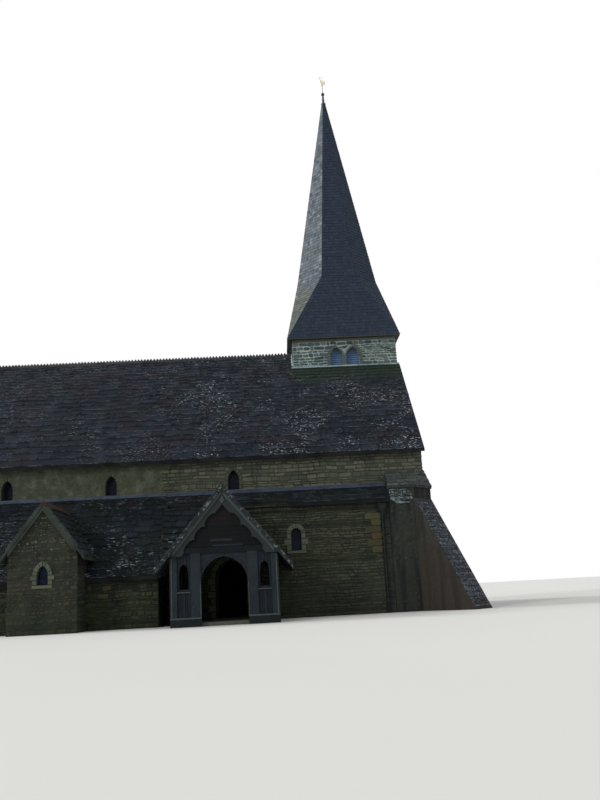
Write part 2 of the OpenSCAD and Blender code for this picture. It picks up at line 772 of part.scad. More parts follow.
module porch_front_posts() color("sienna") for (s = [-1, 1]) translate([porch_x, 0, 0]) {
    jamb = porch_door_r + jamb_w / 2;
    corner = porch_r - post_w / 2;
    block([s * jamb - jamb_w / 2, porch_y, sill_h], [s * jamb + jamb_w / 2, porch_y + frame_t, tie_h]);
    along_y(porch_y, porch_y + frame_t) polygon([
        [s * (corner - post_w / 2), sill_h], [s * (corner + post_w / 2), sill_h],
        [s * (corner + post_w / 2), porch_under(corner + post_w / 2)],
        [s * (corner - post_w / 2), porch_under(corner - post_w / 2)]
    ]);
}

module porch_tie_beam() color("sienna") along_y(porch_y, porch_y + frame_t)
    translate([porch_x, 0]) intersection() {
        clear = porch_r - post_w;
        top = porch_under(0) - fit_gap;
        translate([-clear, tie_h]) square([2 * clear, tie_d]);
        polygon([[-top / porch_slope, 0], [top / porch_slope, 0], [0, top]]);
    }

module porch_door_arch() color("peru") along_y(porch_y + board_t, porch_y + 2 * board_t)
    translate([porch_x, 0]) difference() {
        translate([-porch_door_r, porch_arch_spring - arch_foot])
            square([2 * porch_door_r, tie_h - porch_arch_spring + arch_foot]);
        pointed(2 * porch_door_r, 0, porch_arch_spring, porch_arch_rise);
    }

// Boarded panel with a small pointed opening on each side of the doorway, and the gable boards
module porch_front_boards() color("peru") along_y(porch_y + board_t, porch_y + 2 * board_t)
    translate([porch_x, 0]) {
        x0 = porch_door_r + jamb_w;
        x1 = porch_r - post_w;
        base = tie_h + tie_d;
        top = porch_under(0) - fit_gap;
        for (s = [-1, 1]) difference() {
            translate([s > 0 ? x0 : -x1, sill_h]) square([x1 - x0, tie_h - sill_h]);
            translate([s * (x0 + x1) / 2, 0]) slit(dado_h + rail_d);
        }
        polygon([[-(top - base) / porch_slope, base], [(top - base) / porch_slope, base], [0, top]]);
    }

// One bargeboard under the right slope, with cusps along its lower edge and a level foot
module barge_half() {
    pitch = atan(porch_slope);
    top = porch_ridge_h - porch_roof_t - fit_gap;
    foot = porch_plate_h + barge_foot;
    edge = (top - foot - barge_d * cos(pitch)) / sin(pitch);
    step = (edge - apex_plain - foot_plain) / cusp_n;
    intersection() {
        translate([0, top]) rotate(-pitch) difference() {
            translate([-barge_d * 2, -barge_d]) square([edge + barge_d * 4, barge_d]);
            for (i = [0 : cusp_n - 1])
                translate([apex_plain + step * (i + 0.5), -barge_d]) scale([1, hollow_d])
                    circle(step * hollow_w / 2);
        }
        translate([0, foot]) square([porch_r + barge_past, porch_ridge_h]);
    }
}

module porch_bargeboards() color("peru")
    along_y(porch_y - barge_t, porch_y) translate([porch_x, 0]) {
        barge_half();
        mirror([1, 0]) barge_half();
    }

module porch_side_walls() color("peru") {
    y0 = porch_y + frame_t;
    bay = (bay_y - y0) / slit_n;
    for (s = [-1, 1]) {
        x0 = porch_x + s * (porch_r - frame_t / 2) - board_t / 2;
        along_x(x0, x0 + board_t) difference() {
            translate([y0, sill_h]) square([bay_y - y0, porch_plate_h - plate_d - sill_h]);
            for (i = [0 : slit_n - 1]) translate([y0 + bay * (i + 0.5), 0]) slit(dado_h);
        }
    }
}

module porch_wall_plates() color("sienna") for (s = [-1, 1]) translate([porch_x, 0, 0]) {
    x0 = s * porch_r;
    x1 = s * (porch_r - frame_t);
    block([min(x0, x1), porch_y + frame_t, porch_plate_h - plate_d], [max(x0, x1), bay_y, porch_plate_h]);
}

module rafter_pair(y) along_y(y, y + rafter_w) translate([porch_x, 0]) {
    top = porch_ridge_h - porch_roof_t;
    r = porch_r;
    polygon([
        [0, top], [r, top - porch_slope * r], [r, top - porch_slope * r - rafter_d], [0, top - rafter_d],
        [-r, top - porch_slope * r - rafter_d], [-r, top - porch_slope * r]
    ]);
}

module porch_rafters() color("sienna") {
    step = (porch_d - rafter_w * 2) / rafter_n;
    difference() {
        for (i = [0 : rafter_n]) rafter_pair(porch_y + i * step);
        for (s = [-1, 1])
            block([porch_x + s * porch_r - frame_t, porch_y + frame_t, 0],
                [porch_x + s * porch_r + frame_t, bay_y, porch_plate_h]);
    }
}

// The porch roof runs back over the west bay eaves
module porch_roof() color("dimgray") difference() {
    along_y(porch_y - porch_verge, -half_w) translate([porch_x, 0]) polygon([
        [-porch_roof_r, porch_z(porch_roof_r)], [0, porch_ridge_h],
        [porch_roof_r, porch_z(porch_roof_r)], [porch_roof_r, porch_z(porch_roof_r) - porch_roof_t],
        [0, porch_ridge_h - porch_roof_t], [-porch_roof_r, porch_z(porch_roof_r) - porch_roof_t]
    ]);
    along_x(-half_l, half_l) polygon([
        [bay_y, -past], [bay_y, bay_z(bay_y)], [-half_w + past, bay_z(-half_w + past)],
        [-half_w + past, -past]
    ]);
}

church_floor();
nave_north_arcade();
nave_north_clerestory();
nave_south_arcade();
nave_south_clerestory();
nave_east_wall();
nave_west_wall();
nave_roof_north();
nave_roof_south();
nave_ridge_tiles();
tower_north_wall();
tower_south_wall();
tower_east_wall();
tower_west_wall();
belfry_louvres();
spire_plate();
spire_splay();
spire_octagon();
spire_finial();
weathercock();
north_aisle_wall();
north_aisle_roof();
chapel_walls();
chapel_roof();
south_aisle_wall();
aisle_end_walls();
south_aisle_roof();
west_bay_wall();
west_bay_roof();
window_glass();
rainwater_pipe();
corner_pier();
pier_weathering();
raking_buttress();
porch_floor();
porch_sills();
porch_front_posts();
porch_tie_beam();
porch_door_arch();
porch_front_boards();
porch_bargeboards();
porch_side_walls();
porch_wall_plates();
porch_rafters();
porch_roof();
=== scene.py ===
"""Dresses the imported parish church: stone-slab roofs, rubble walls, a shingled spire and an oak porch.

Metres, in the frame of the part: the north side with the porch faces -Y, and the tower is at +X.
"""

import functools
import math
from collections import namedtuple

import bpy
import numpy as np
from mathutils import Matrix, Vector


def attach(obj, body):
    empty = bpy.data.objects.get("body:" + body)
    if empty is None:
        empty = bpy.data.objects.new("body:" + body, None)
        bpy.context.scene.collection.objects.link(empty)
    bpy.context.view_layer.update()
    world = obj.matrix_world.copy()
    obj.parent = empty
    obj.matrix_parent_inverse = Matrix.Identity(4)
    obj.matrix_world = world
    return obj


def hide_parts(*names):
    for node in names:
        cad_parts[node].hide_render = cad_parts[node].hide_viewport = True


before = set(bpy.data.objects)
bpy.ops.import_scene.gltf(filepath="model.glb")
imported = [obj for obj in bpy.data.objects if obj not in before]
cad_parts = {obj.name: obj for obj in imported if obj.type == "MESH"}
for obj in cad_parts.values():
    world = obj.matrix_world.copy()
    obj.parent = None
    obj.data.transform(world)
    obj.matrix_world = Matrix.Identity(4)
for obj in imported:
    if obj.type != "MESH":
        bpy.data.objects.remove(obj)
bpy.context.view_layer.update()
rng = np.random.default_rng(1187)

TOWER_X, TOWER_Y, TOWER_HALF = 7.585, 1.675, 2.465
NAVE_RIDGE, NAVE_SLOPE, NAVE_END, NAVE_SIDE = 12.12, 1.08, 10.05, 5.0
LEAN_TOP, LEAN_SLOPE, BAY_SLOPE = 5.05, 1.08, 0.75
CHAPEL_X, CHAPEL_RIDGE, CHAPEL_SLOPE = -4.15, 4.47, 1.31
PORCH_X, PORCH_FRONT, PORCH_BACK, PORCH_HALF = 2.14, -9.5, -5.7, 1.86
PORCH_RIDGE, PORCH_SLOPE, BARGE_TOP = 4.7504, 1.19, 4.5803
PIPE_X, PIPE_Y = 8.16, -5.78
NORTH_AISLE_END, SOUTH_AISLE_END, ARCADE_TOP = 0.35, 4.6, 4.6
NORTH, SOUTH, EAST, WEST = (0, -1, 0), (0, 1, 0), (-1, 0, 0), (1, 0, 0)


# Shader nodes

RIM = 2.0  # what the faces round a block's outline have over its tone


class Wire:
    """A socket of a finish's nodes. Arithmetic on it adds Math nodes."""

    def __init__(self, finish, socket):
        self.finish, self.socket = finish, socket

    def math(self, operation, first, second):
        return self.finish.node("ShaderNodeMath", {"operation": operation}, {0: first, 1: second})

    def __add__(self, other):
        return self.math("ADD", self, other)

    def __radd__(self, other):
        return self.math("ADD", other, self)

    def __sub__(self, other):
        return self.math("SUBTRACT", self, other)

    def __rsub__(self, other):
        return self.math("SUBTRACT", other, self)

    def __mul__(self, other):
        return self.math("MULTIPLY", self, other)

    def __rmul__(self, other):
        return self.math("MULTIPLY", other, self)

    def between(self, low, high):
        """0 below low, 1 above high, and smooth from one to the other."""
        values = {"Value": self, "From Min": low, "From Max": high}
        return self.finish.node("ShaderNodeMapRange", {"interpolation_type": "SMOOTHSTEP"}, values)


class Finish:
    """A material on one Principled shader. A number that is the same all over goes on the shader itself.

    Its colours are written as they look on a screen, with each part from 0 to 255.
    """

    def __init__(self, name, **constants):
        self.material = bpy.data.materials.new(name)
        self.material.use_nodes = True
        self.tree = self.material.node_tree
        self.tree.nodes.clear()
        self.shader = self.tree.nodes.new("ShaderNodeBsdfPrincipled")
        output = self.tree.nodes.new("ShaderNodeOutputMaterial")
        self.tree.links.new(self.shader.outputs[0], output.inputs[0])
        for key, value in {"Specular_IOR_Level": 0.12, **constants}.items():
            self.shader.inputs[key.replace("_", " ")].default_value = value
        self.place = self.node("ShaderNodeTexCoord", out="Object")
        self.tone = self.node("ShaderNodeAttribute", {"attribute_name": "tone"}, out="Fac")

    def node(self, kind, settings=None, sockets=None, out=0):
        made = self.tree.nodes.new(kind)
        for key, value in (settings or {}).items():
            if key == "stops":
                ramp = made.color_ramp
                ramp.elements.remove(ramp.elements[1])
                ramp.elements[0].position, ramp.elements[0].color = value[0]
                for at, colour in value[1:]:
                    ramp.elements.new(at).color = colour
            else:
                setattr(made, key, value)
        for key, value in (sockets or {}).items():
            if isinstance(value, Wire):
                self.tree.links.new(value.socket, made.inputs[key])
            else:
                made.inputs[key].default_value = value
        return Wire(self, made.outputs[out])

    def axis(self, number):
        """One coordinate of the place: 0 is X, 1 is Y and 2 is Z."""
        return self.node("ShaderNodeSeparateXYZ", {}, {0: self.place}, out=number)

    def stretched(self, scale):
        return self.node("ShaderNodeVectorMath", {"operation": "MULTIPLY"}, {0: self.place, 1: scale})

    def noise(self, scale, detail=3.0, at=None):
        values = {"Vector": at or self.place, "Scale": scale, "Detail": detail, "Roughness": 0.6}
        return self.node("ShaderNodeTexNoise", {}, values)

    def mix(self, factor, first, second):
        first, second = (shade(c) if isinstance(c, tuple) else c for c in (first, second))
        return self.node("ShaderNodeMix", {"data_type": "RGBA"}, {0: factor, 6: first, 7: second}, out=2)

    def ramp(self, factor, colours):
        """The colours at equal distances, from 0 to 1."""
        stops = [(i / (len(colours) - 1), shade(c)) for i, c in enumerate(colours)]
        return self.node("ShaderNodeValToRGB", {"stops": stops}, {"Fac": factor})

    def rim(self):
        """1 on the faces round a block's outline, and 0 on the others."""
        return self.tone.between(0.7 * RIM, 0.8 * RIM)

    def block_tone(self):
        return self.tone - self.rim() * RIM

    def wear(self, colour, height=None, strength=0.5, depth=0.004, **links):
        """Joins a colour, a bump from a height and any other wires to the shader, and returns the finish."""
        links["Base Color"] = colour
        if height:
            values = {"Strength": strength, "Distance": depth, "Height": height}
            links["Normal"] = self.node("ShaderNodeBump", {}, values)
        for key, value in links.items():
            self.tree.links.new(value.socket, self.shader.inputs[key])
        return self


def shade(colour):
    """A colour as it looks on a screen, 0 to 255, as the linear numbers that the shader takes."""
    parts = ((c / 255 / 12.92) if c <= 10 else ((c / 255 + 0.055) / 1.055) ** 2.4 for c in colour)
    return (*parts, 1)


def stone_finish(
    name, colours, dirt, lichen=None, grain=26.0, lichen_share=0.63, depth=0.006, damp=None, wash=None,
    runs=None, patchy=0.5, lichen_above=None,
):
    """Rough stone: each block takes one of the colours, with mottling, dirt in hollows and lichen.

    damp is a height under which the stone is stained, and the colour of the stain. wash is the colours of
    the old limewash that is left on the east part of the north side, and runs is the colour of the dark
    streaks that rain has left down the face. patchy is how far the shade drifts across a stone, and
    lichen_above is the height under which lichen is rare.
    """
    f = Finish(name, Roughness=0.92)
    coarse, fine = f.noise(3.1), f.noise(grain, 5.0)
    base = f.ramp(f.block_tone() * 0.86 + (coarse - 0.5) * patchy + 0.07, colours)
    mottled = f.mix(fine.between(0.35, 0.75) * 0.55, base, dirt)
    if damp:
        rise = f.axis(2) + (f.noise(0.7, 4.0) - 0.5) * 3.0
        mottled = f.mix((1 - rise.between(damp[0] * 0.4, damp[0])) * 0.6, mottled, damp[1])
    if runs:
        streaks = f.noise(1.0, 4.0, at=f.stretched((3.4, 3.4, 0.3)))
        mottled = f.mix(streaks.between(0.46, 0.62) * 0.75, mottled, runs)
    if wash:
        patches = f.noise(0.9, 4.0)
        east = 1 - (f.axis(0) + (patches - 0.5) * 6.0).between(-2.2, 1.0)
        north = 1 - f.axis(1).between(0.2 - NAVE_SIDE, 0.4 - NAVE_SIDE)
        mottled = f.mix(east * north * 0.85, mottled, f.mix(patches, *wash))
    if lichen:
        spots = f.noise(11.0, 4.0).between(lichen_share, lichen_share + 0.05)
        if lichen_above:
            height = f.axis(2) + (coarse - 0.5) * 1.6
            spots = spots * (0.06 + 0.94 * height.between(lichen_above, lichen_above + 0.3))
        mottled = f.mix(spots * 0.8, mottled, lichen)
    return f.wear(mottled, fine + coarse * 0.6, 0.5, depth)


def mortar_finish(name, pale, dark):
    """Lime mortar with coarse sand, stained in places."""
    f = Finish(name, Roughness=0.95)
    stain, sand = f.noise(1.3, 4.0), f.noise(70.0, 2.0)
    colour = f.mix(stain.between(0.35, 0.7), pale, dark)
    return f.wear(f.mix(sand.between(0.4, 0.7) * 0.3, colour, dark), sand, 0.4, 0.003)


def slab_finish(name, colours, umber, algae, rim, lichen, most, drawn, crowd, moss=None):
    """Riven stone slabs: dark, each its own shade, with pale edges and specks of lichen in clusters. The
    edges are partly weathering and partly a painted highlight that lifts the shade on their downturned
    tails.

    umber and algae are the stains that lie over the slabs in patches. most is the axis along which lichen
    grows thicker, from one place to another, and drawn is how its specks are stretched. crowd is how much
    closer the specks lie where they are thickest. moss is the green of the slabs just under the tower,
    where drips from its wall keep them wet.
    """
    f = Finish(name, Roughness=0.85)
    riven, edge = f.noise(9.0, 6.0), f.rim()
    base = f.ramp((f.tone - edge * RIM) * 0.8 + riven * 0.4 - 0.1, colours)
    base = f.mix(f.noise(0.6, 5.0).between(0.46, 0.6) * 0.6, base, umber)
    base = f.mix(f.noise(0.9, 5.0, at=f.stretched((0.8, 1.0, 1.6))).between(0.5, 0.6) * 0.6, base, algae)
    # Pale tails round each slab: weathering, and a painted highlight against the shade they face down into.
    base = f.mix(edge * (0.2 + 0.75 * f.noise(1.7, 4.0).between(0.42, 0.6)), base, rim)
    clusters = f.noise(0.7, 5.0).between(0.46, 0.62)
    much = f.axis(most[0]).between(*most[1:])
    specks = (f.noise(15.0, 2.0, at=f.stretched(drawn)) + much * crowd).between(0.61, 0.65)
    specks = specks * (0.35 + 1.1 * much)
    base = f.mix(specks * (0.1 + 0.9 * clusters), base, lichen)
    if moss:
        x, y = f.axis(0), f.axis(1)
        wet = x.between(4.7, 5.2) * (y + (riven - 0.5) * 1.2).between(-2.1, -1.2)
        base = f.mix(wet * (1 - y.between(-0.4, -0.2)) * 0.85, base, moss)
    return f.wear(base, riven, 0.45, 0.008)


def shingle_finish(name, colours, algae):
    """Cleft oak shingles, silvery on the faces turned to the sun and near black on the north: partly
    bleaching and damp, partly painted sunlight and shade.
    """
    f = Finish(name, Roughness=0.75)
    grain = f.noise(5.0, 5.0, at=f.stretched((9.0, 9.0, 1.2)))
    tone = f.block_tone()
    base = f.ramp(tone + (grain - 0.5) * 0.22, colours)
    low = 1 - (f.axis(2) + grain * 1.5).between(15.6, 17.0)
    return f.wear(f.mix(low * tone.between(0.36, 0.6) * 0.45, base, algae), grain, 0.35)


def oak_finish(name, run, pale, dark, warm=None):
    """Weathered oak with its grain along the way that run stretches least. warm browns it above a height."""
    f = Finish(name, Roughness=0.8)
    grain = f.noise(4.0, 6.0, at=f.stretched(run))
    base = f.mix(grain.between(0.32, 0.68), pale, dark)
    base = f.mix(f.noise(1.3, 4.0).between(0.45, 0.65) * 0.5, base, dark)
    base = f.mix(f.tone * 0.35, base, dark)
    if warm:
        base = f.mix(f.axis(2).between(*warm[0]) * 0.6, base, warm[1])
    return f.wear(base, grain)


def metal_finish(name, colour, worn, roughness, metallic, grain=8.0):
    """Sheet or cast metal with a dull bloom."""
    f = Finish(name, Metallic=metallic, Specular_IOR_Level=0.3)
    bloom = f.noise(grain, 4.0)
    base = f.mix(bloom.between(0.4, 0.66), colour, worn)
    return f.wear(base, bloom, 0.2, 0.003, Roughness=roughness + (bloom - 0.5) * 0.3)


def glass_finish(name, dark, pale):
    """Old leaded glass, dark, with each quarry set a little askew."""
    f = Finish(name, Roughness=0.3, Specular_IOR_Level=0.1)
    ripple = f.noise(7.0, 2.0)
    return f.wear(f.mix(ripple.between(0.35, 0.65), dark, pale), ripple, 0.3)


MOSS = (44, 54, 36)
FIELD_STONE = stone_finish(
    "field_rubble", [(34, 38, 34), (46, 50, 44), (60, 62, 50), (80, 78, 60), (50, 54, 52)], (28, 31, 28),
    (96, 106, 96), lichen_share=0.66, damp=(1.6, MOSS),
)
CHAPEL_STONE = stone_finish(
    "chapel_rubble", [(39, 43, 39), (50, 52, 45), (63, 61, 51), (72, 66, 56), (48, 53, 48)], (47, 50, 43),
    (106, 110, 98), lichen_share=0.565, damp=(1.6, MOSS), lichen_above=2.6,
)
SANDSTONE = stone_finish(
    "coursed_sandstone", [(61, 66, 57), (72, 77, 66), (83, 86, 73), (102, 102, 87), (83, 80, 70)],
    (57, 62, 53), (92, 101, 91), patchy=0.8, lichen_share=0.66, wash=((52, 58, 50), (72, 76, 58)),
)
TOWER_STONE = stone_finish(
    "tower_rubble", [(40, 54, 60), (58, 73, 79), (74, 89, 93), (106, 113, 104), (63, 75, 77)], (44, 55, 58)
)
BAY_STONE = stone_finish(
    "thin_bedded_rubble", [(50, 54, 47), (59, 62, 53), (68, 70, 58), (80, 79, 64), (62, 66, 59)],
    (48, 51, 45), damp=(2.2, (50, 56, 50)), patchy=0.9,
)
LIMEWASH = stone_finish(
    "old_limewash", [(42, 47, 36), (56, 61, 47), (73, 77, 62), (94, 98, 84), (98, 106, 98)], (52, 57, 46),
    (84, 94, 88), grain=9.0, lichen_share=0.64, depth=0.01, patchy=1.1,
)
PIER_STONE = stone_finish(
    "pier_blocks", [(34, 39, 38), (44, 49, 46), (56, 57, 52), (44, 46, 42), (58, 62, 62)], (33, 38, 36),
    (78, 86, 84), grain=12.0, lichen_share=0.64, depth=0.012, damp=(2.6, (40, 46, 39)), runs=(27, 32, 31),
    patchy=1.3,
)
ROUGHCAST = stone_finish(
    "raking_roughcast", [(42, 46, 45), (54, 56, 54), (66, 63, 58), (52, 54, 55), (70, 72, 70)], (46, 47, 45),
    (76, 80, 80), grain=11.0, lichen_share=0.67, depth=0.012, damp=(3.0, (56, 48, 43)), runs=(44, 42, 40),
    patchy=1.5,
)
COPING_STONE = stone_finish(
    "lichened_coping", [(46, 52, 60), (62, 69, 78), (84, 90, 98), (56, 58, 60)], (38, 43, 50),
    (112, 120, 126), grain=12.0, lichen_share=0.56, depth=0.012,
)
PIER_SLABS = stone_finish(
    "pier_top_slabs", [(50, 55, 55), (64, 69, 67), (78, 82, 78), (56, 62, 66)], (38, 43, 43),
    (100, 106, 102), grain=14.0, lichen_share=0.58, depth=0.012,
)
BLEACHED_STONE = stone_finish(
    "bleached_stones", [(52, 58, 58), (74, 84, 86), (100, 116, 118), (66, 62, 62)], (50, 60, 60),
    (136, 150, 152), grain=14.0, lichen_share=0.54,
)
DRESSED_STONE = stone_finish("dressed_stone", [(62, 68, 58), (72, 76, 62), (82, 84, 68)], (52, 58, 50))
BAY_DRESSED = stone_finish("bay_window_stone", [(72, 80, 68), (84, 92, 76), (94, 98, 80)], (62, 70, 60))
TAN_STONE = stone_finish("belfry_arch_stone", [(76, 85, 84), (88, 94, 88), (102, 101, 84)], (66, 73, 70))
QUOIN_STONE = stone_finish(
    "ochre_quoins", [(78, 79, 56), (67, 67, 48), (60, 60, 46), (82, 69, 46)], (54, 54, 42)
)
FLAGSTONE = stone_finish("floor_flags", [(84, 84, 78), (98, 97, 90), (108, 106, 96)], (70, 70, 64))
SLAB_EDGES = stone_finish(
    "rough_slab_edges", [(40, 44, 46), (56, 60, 60)], (26, 29, 31),
    (112, 120, 118), grain=16.0, lichen_share=0.56,
)
RIDGE_CLAY = stone_finish("ridge_crests", [(40, 44, 50), (54, 56, 60), (68, 68, 66)], (34, 36, 40))
RED_CLAY = stone_finish("red_ridge_clay", [(62, 44, 38), (76, 52, 42), (58, 52, 44)], (40, 40, 36))
DARK_MORTAR = mortar_finish("weathered_mortar", (52, 56, 44), (32, 36, 32))
OLIVE_MORTAR = mortar_finish("clerestory_mortar", (66, 69, 57), (46, 49, 41))
CREAM_MORTAR = mortar_finish("cream_mortar", (150, 166, 161), (114, 129, 126))
PLASTER = mortar_finish("inner_limewash", (150, 146, 132), (124, 120, 106))
WHITE_FILLET = mortar_finish("mortar_fillet", (148, 166, 170), (96, 112, 116))
VERGE_MORTAR = mortar_finish("verge_mortar", (60, 66, 60), (40, 46, 43))
CHAPEL_MORTAR = mortar_finish("chapel_mortar", (54, 58, 50), (38, 42, 37))
ROOF_BED = mortar_finish("roof_bedding", (34, 36, 38), (18, 20, 23))
# The colour after the algae is the slabs' pale edges, partly weathering and partly painted highlight.
SLABS = slab_finish(
    "riven_slabs", [(11, 17, 25), (17, 25, 35), (25, 32, 43), (37, 41, 49)], (30, 25, 31), (19, 28, 30),
    (108, 114, 122), (154, 162, 166), most=(0, -3.0, 4.0), drawn=(0.6, 1.0, 1.2), crowd=-0.008,
    moss=(38, 50, 40),
)
# The same riven slabs, darker on the low roofs: painted shade for the shadow they lie in.
SHADED_LOW_SLABS = slab_finish(
    "shaded_slabs", [(9, 14, 18), (13, 20, 25), (20, 27, 33), (31, 36, 41)], (22, 20, 20), (14, 24, 18),
    (76, 84, 88), (134, 147, 152), most=(2, 3.6, 2.5), drawn=(0.36, 1.0, 1.2), crowd=0.03,
)
SHINGLES = shingle_finish(
    "cleft_oak_shingles", [(24, 32, 44), (39, 49, 64), (66, 75, 86), (102, 109, 115), (142, 147, 150)],
    (84, 84, 58),
)
# Soffit boards under the spire's eaves, lighter than weathered oak: painted light that lifts their shade.
SPIRE_BOARDS_PAINTED_LIGHT = oak_finish("spire_boarding_painted_light", (30.0, 30.0, 2.0), (72, 78, 76), (50, 55, 56))
OAK_POSTS = oak_finish("oak_posts", (26.0, 26.0, 1.4), (48, 55, 60), (27, 32, 37))
OAK_LEVEL = oak_finish("oak_beams", (1.4, 26.0, 26.0), (25, 32, 35), (15, 20, 23))
OAK_SIDE = oak_finish("oak_side_rails", (26.0, 1.4, 26.0), (38, 43, 45), (22, 26, 28))
OAK_RAKING = oak_finish("oak_bargeboards", (9.0, 20.0, 9.0), (56, 61, 60), (32, 37, 38))
# Pale oak for the porch's mouldings; its strips up the post edges and door jambs are painted highlights.
OAK_EDGE_AND_HIGHLIGHTS = oak_finish("pale_oak_and_painted_highlights", (9.0, 20.0, 9.0), (84, 92, 90), (58, 65, 66))
OAK_SPANDREL = oak_finish("oak_spandrels", (6.0, 24.0, 6.0), (48, 54, 59), (28, 33, 38))
OAK_BOARDS = oak_finish("oak_boarding", (24.0, 24.0, 1.3), (38, 46, 54), (22, 27, 34))
# Near-black oak for the gable boards and rafters: weathered oak darkened further as painted shade for the
# shadow under the bargeboards, and browned towards the apex.
OAK_GABLE_PAINTED_SHADE = oak_finish(
    "oak_gable_boards_painted_shade", (1.3, 24.0, 24.0), (23, 27, 27), (14, 17, 18), warm=((3.2, 3.8), (34, 24, 21))
)
# The plate at the spire's foot, greyed to the tower's top courses and made lighter: painted light that lifts
# the shade under the spire's eaves.
EAVES_PLATE_PAINTED_LIGHT = oak_finish("oak_eaves_fascia_painted_light", (2.0, 2.0, 26.0), (104, 110, 96), (70, 76, 66))
LOUVRE_PAINT = oak_finish("louvre_paint", (3.0, 3.0, 24.0), (106, 136, 174), (84, 106, 136))
CAME_LEAD = metal_finish("window_lead", (13, 19, 31), (24, 31, 45), 0.8, 0.05)
LEAD = metal_finish("sheet_lead", (58, 68, 84), (44, 52, 64), 0.6, 0.1, 3.0)
PIPE_IRON = metal_finish("cast_iron_pipe", (18, 24, 26), (30, 36, 36), 0.5, 0.4)
# Gold paled nearly to cream: the gilding's own colour with a painted sheen for how it shines.
PALE_GILT_AND_SHEEN = metal_finish("gilded_copper_painted_sheen", (238, 228, 198), (222, 208, 174), 0.4, 0.3, 4.0)
GLASS = glass_finish("old_window_glass", (12, 19, 36), (26, 37, 58))


# Meshes


def unit(v):
    v = np.array(v, float)
    return v / np.linalg.norm(v)


class Side:
    """A flat side, with a level direction, an upward direction and loops of points in those two."""

    def __init__(self, out, offset, loops=()):
        self.out = unit(out)
        self.along = unit(np.cross((0, 0, 1), self.out))
        self.up = np.cross(self.out, self.along)
        self.origin = self.out * offset
        self.loops = [np.array(loop, float) for loop in loops]
        self.keep_out = []

    def flat(self, points):
        """Points in space as (along, up) on this side."""
        d = np.asarray(points, float) - self.origin
        return np.stack([d @ self.along, d @ self.up], -1)

    def place(self, points, depth):
        """(along, up) points at a depth in front of the side, in space. depth is one number, or one each."""
        points, depth = np.asarray(points, float), np.asarray(depth, float)
        depth = np.broadcast_to(depth, points.shape[:-1])[..., None]
        return self.origin + points[..., :1] * self.along + points[..., 1:] * self.up + depth * self.out

    def blocking(self, *loops):
        self.keep_out += [np.array(loop, float) for loop in loops]
        return self

    @staticmethod
    def crossings(loops, v):
        cuts = []
        for loop in loops:
            for a, b in zip(loop, np.roll(loop, -1, axis=0)):
                if (a[1] > v) != (b[1] > v):
                    cuts.append(a[0] + (v - a[1]) * (b[0] - a[0]) / (b[1] - a[1]))
        cuts.sort()
        return list(zip(cuts[::2], cuts[1::2]))

    def spans(self, v):
        """The stretches at height v that lie inside the side and outside what is kept out."""
        kept = self.crossings(self.loops, v)
        for a, b in (cut for loop in self.keep_out for cut in self.crossings([loop], v)):
            parts = [part for low, high in kept for part in ((low, min(high, a)), (max(low, b), high))]
            kept = [(low, high) for low, high in parts if high - low > 1e-4]
        return kept

    def reach(self):
        every = np.concatenate(self.loops)
        return every.min(0), every.max(0)


def sides(node, wanted):
    """A CAD node's flat sides that wanted(normal) accepts, with their holes, the furthest out first.

    Level sides are left out, because they have no level direction of their own.
    """
    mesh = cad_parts[node].data
    groups = {}
    for face in mesh.polygons:
        n = np.array(face.normal)
        corners = [np.round(mesh.vertices[i].co, 4) for i in face.vertices]
        key = (*np.round(n, 2) + 0.0, round(float(n @ corners[0]), 2) + 0.0)
        groups.setdefault(key, []).append(corners)
    found = []
    for group in groups.values():
        a, b, c = max(group, key=lambda t: np.linalg.norm(np.cross(t[1] - t[0], t[2] - t[0])))[:3]
        n = np.cross(b - a, c - a)
        if np.linalg.norm(n[:2]) < 1e-7 or not wanted(unit(n)):
            continue
        side = Side(n, float(unit(n) @ a))
        edges = {}
        for t in group:
            ring = [tuple(p) for p in t]
            edges.update(dict.fromkeys(zip(ring, ring[1:] + ring[:1])))
        after = {}
        for p, q in edges:
            if (q, p) not in edges:
                after.setdefault(p, []).append(q)
        while after:
            loop, at = [], next(iter(after))
            while at in after:
                loop.append(at)
                following = after[at].pop()
                if not after[at]:
                    del after[at]
                at = following
            side.loops.append(side.flat(loop))
        found.append(side)
    return sorted(found, key=lambda s: -float(s.origin @ s.out))


def facing(direction):
    return lambda n: float(n @ unit(direction)) > 0.98


def facing_up(n):
    return n[2] > 0.3


def outermost(node, direction):
    return sides(node, facing(direction))[0]


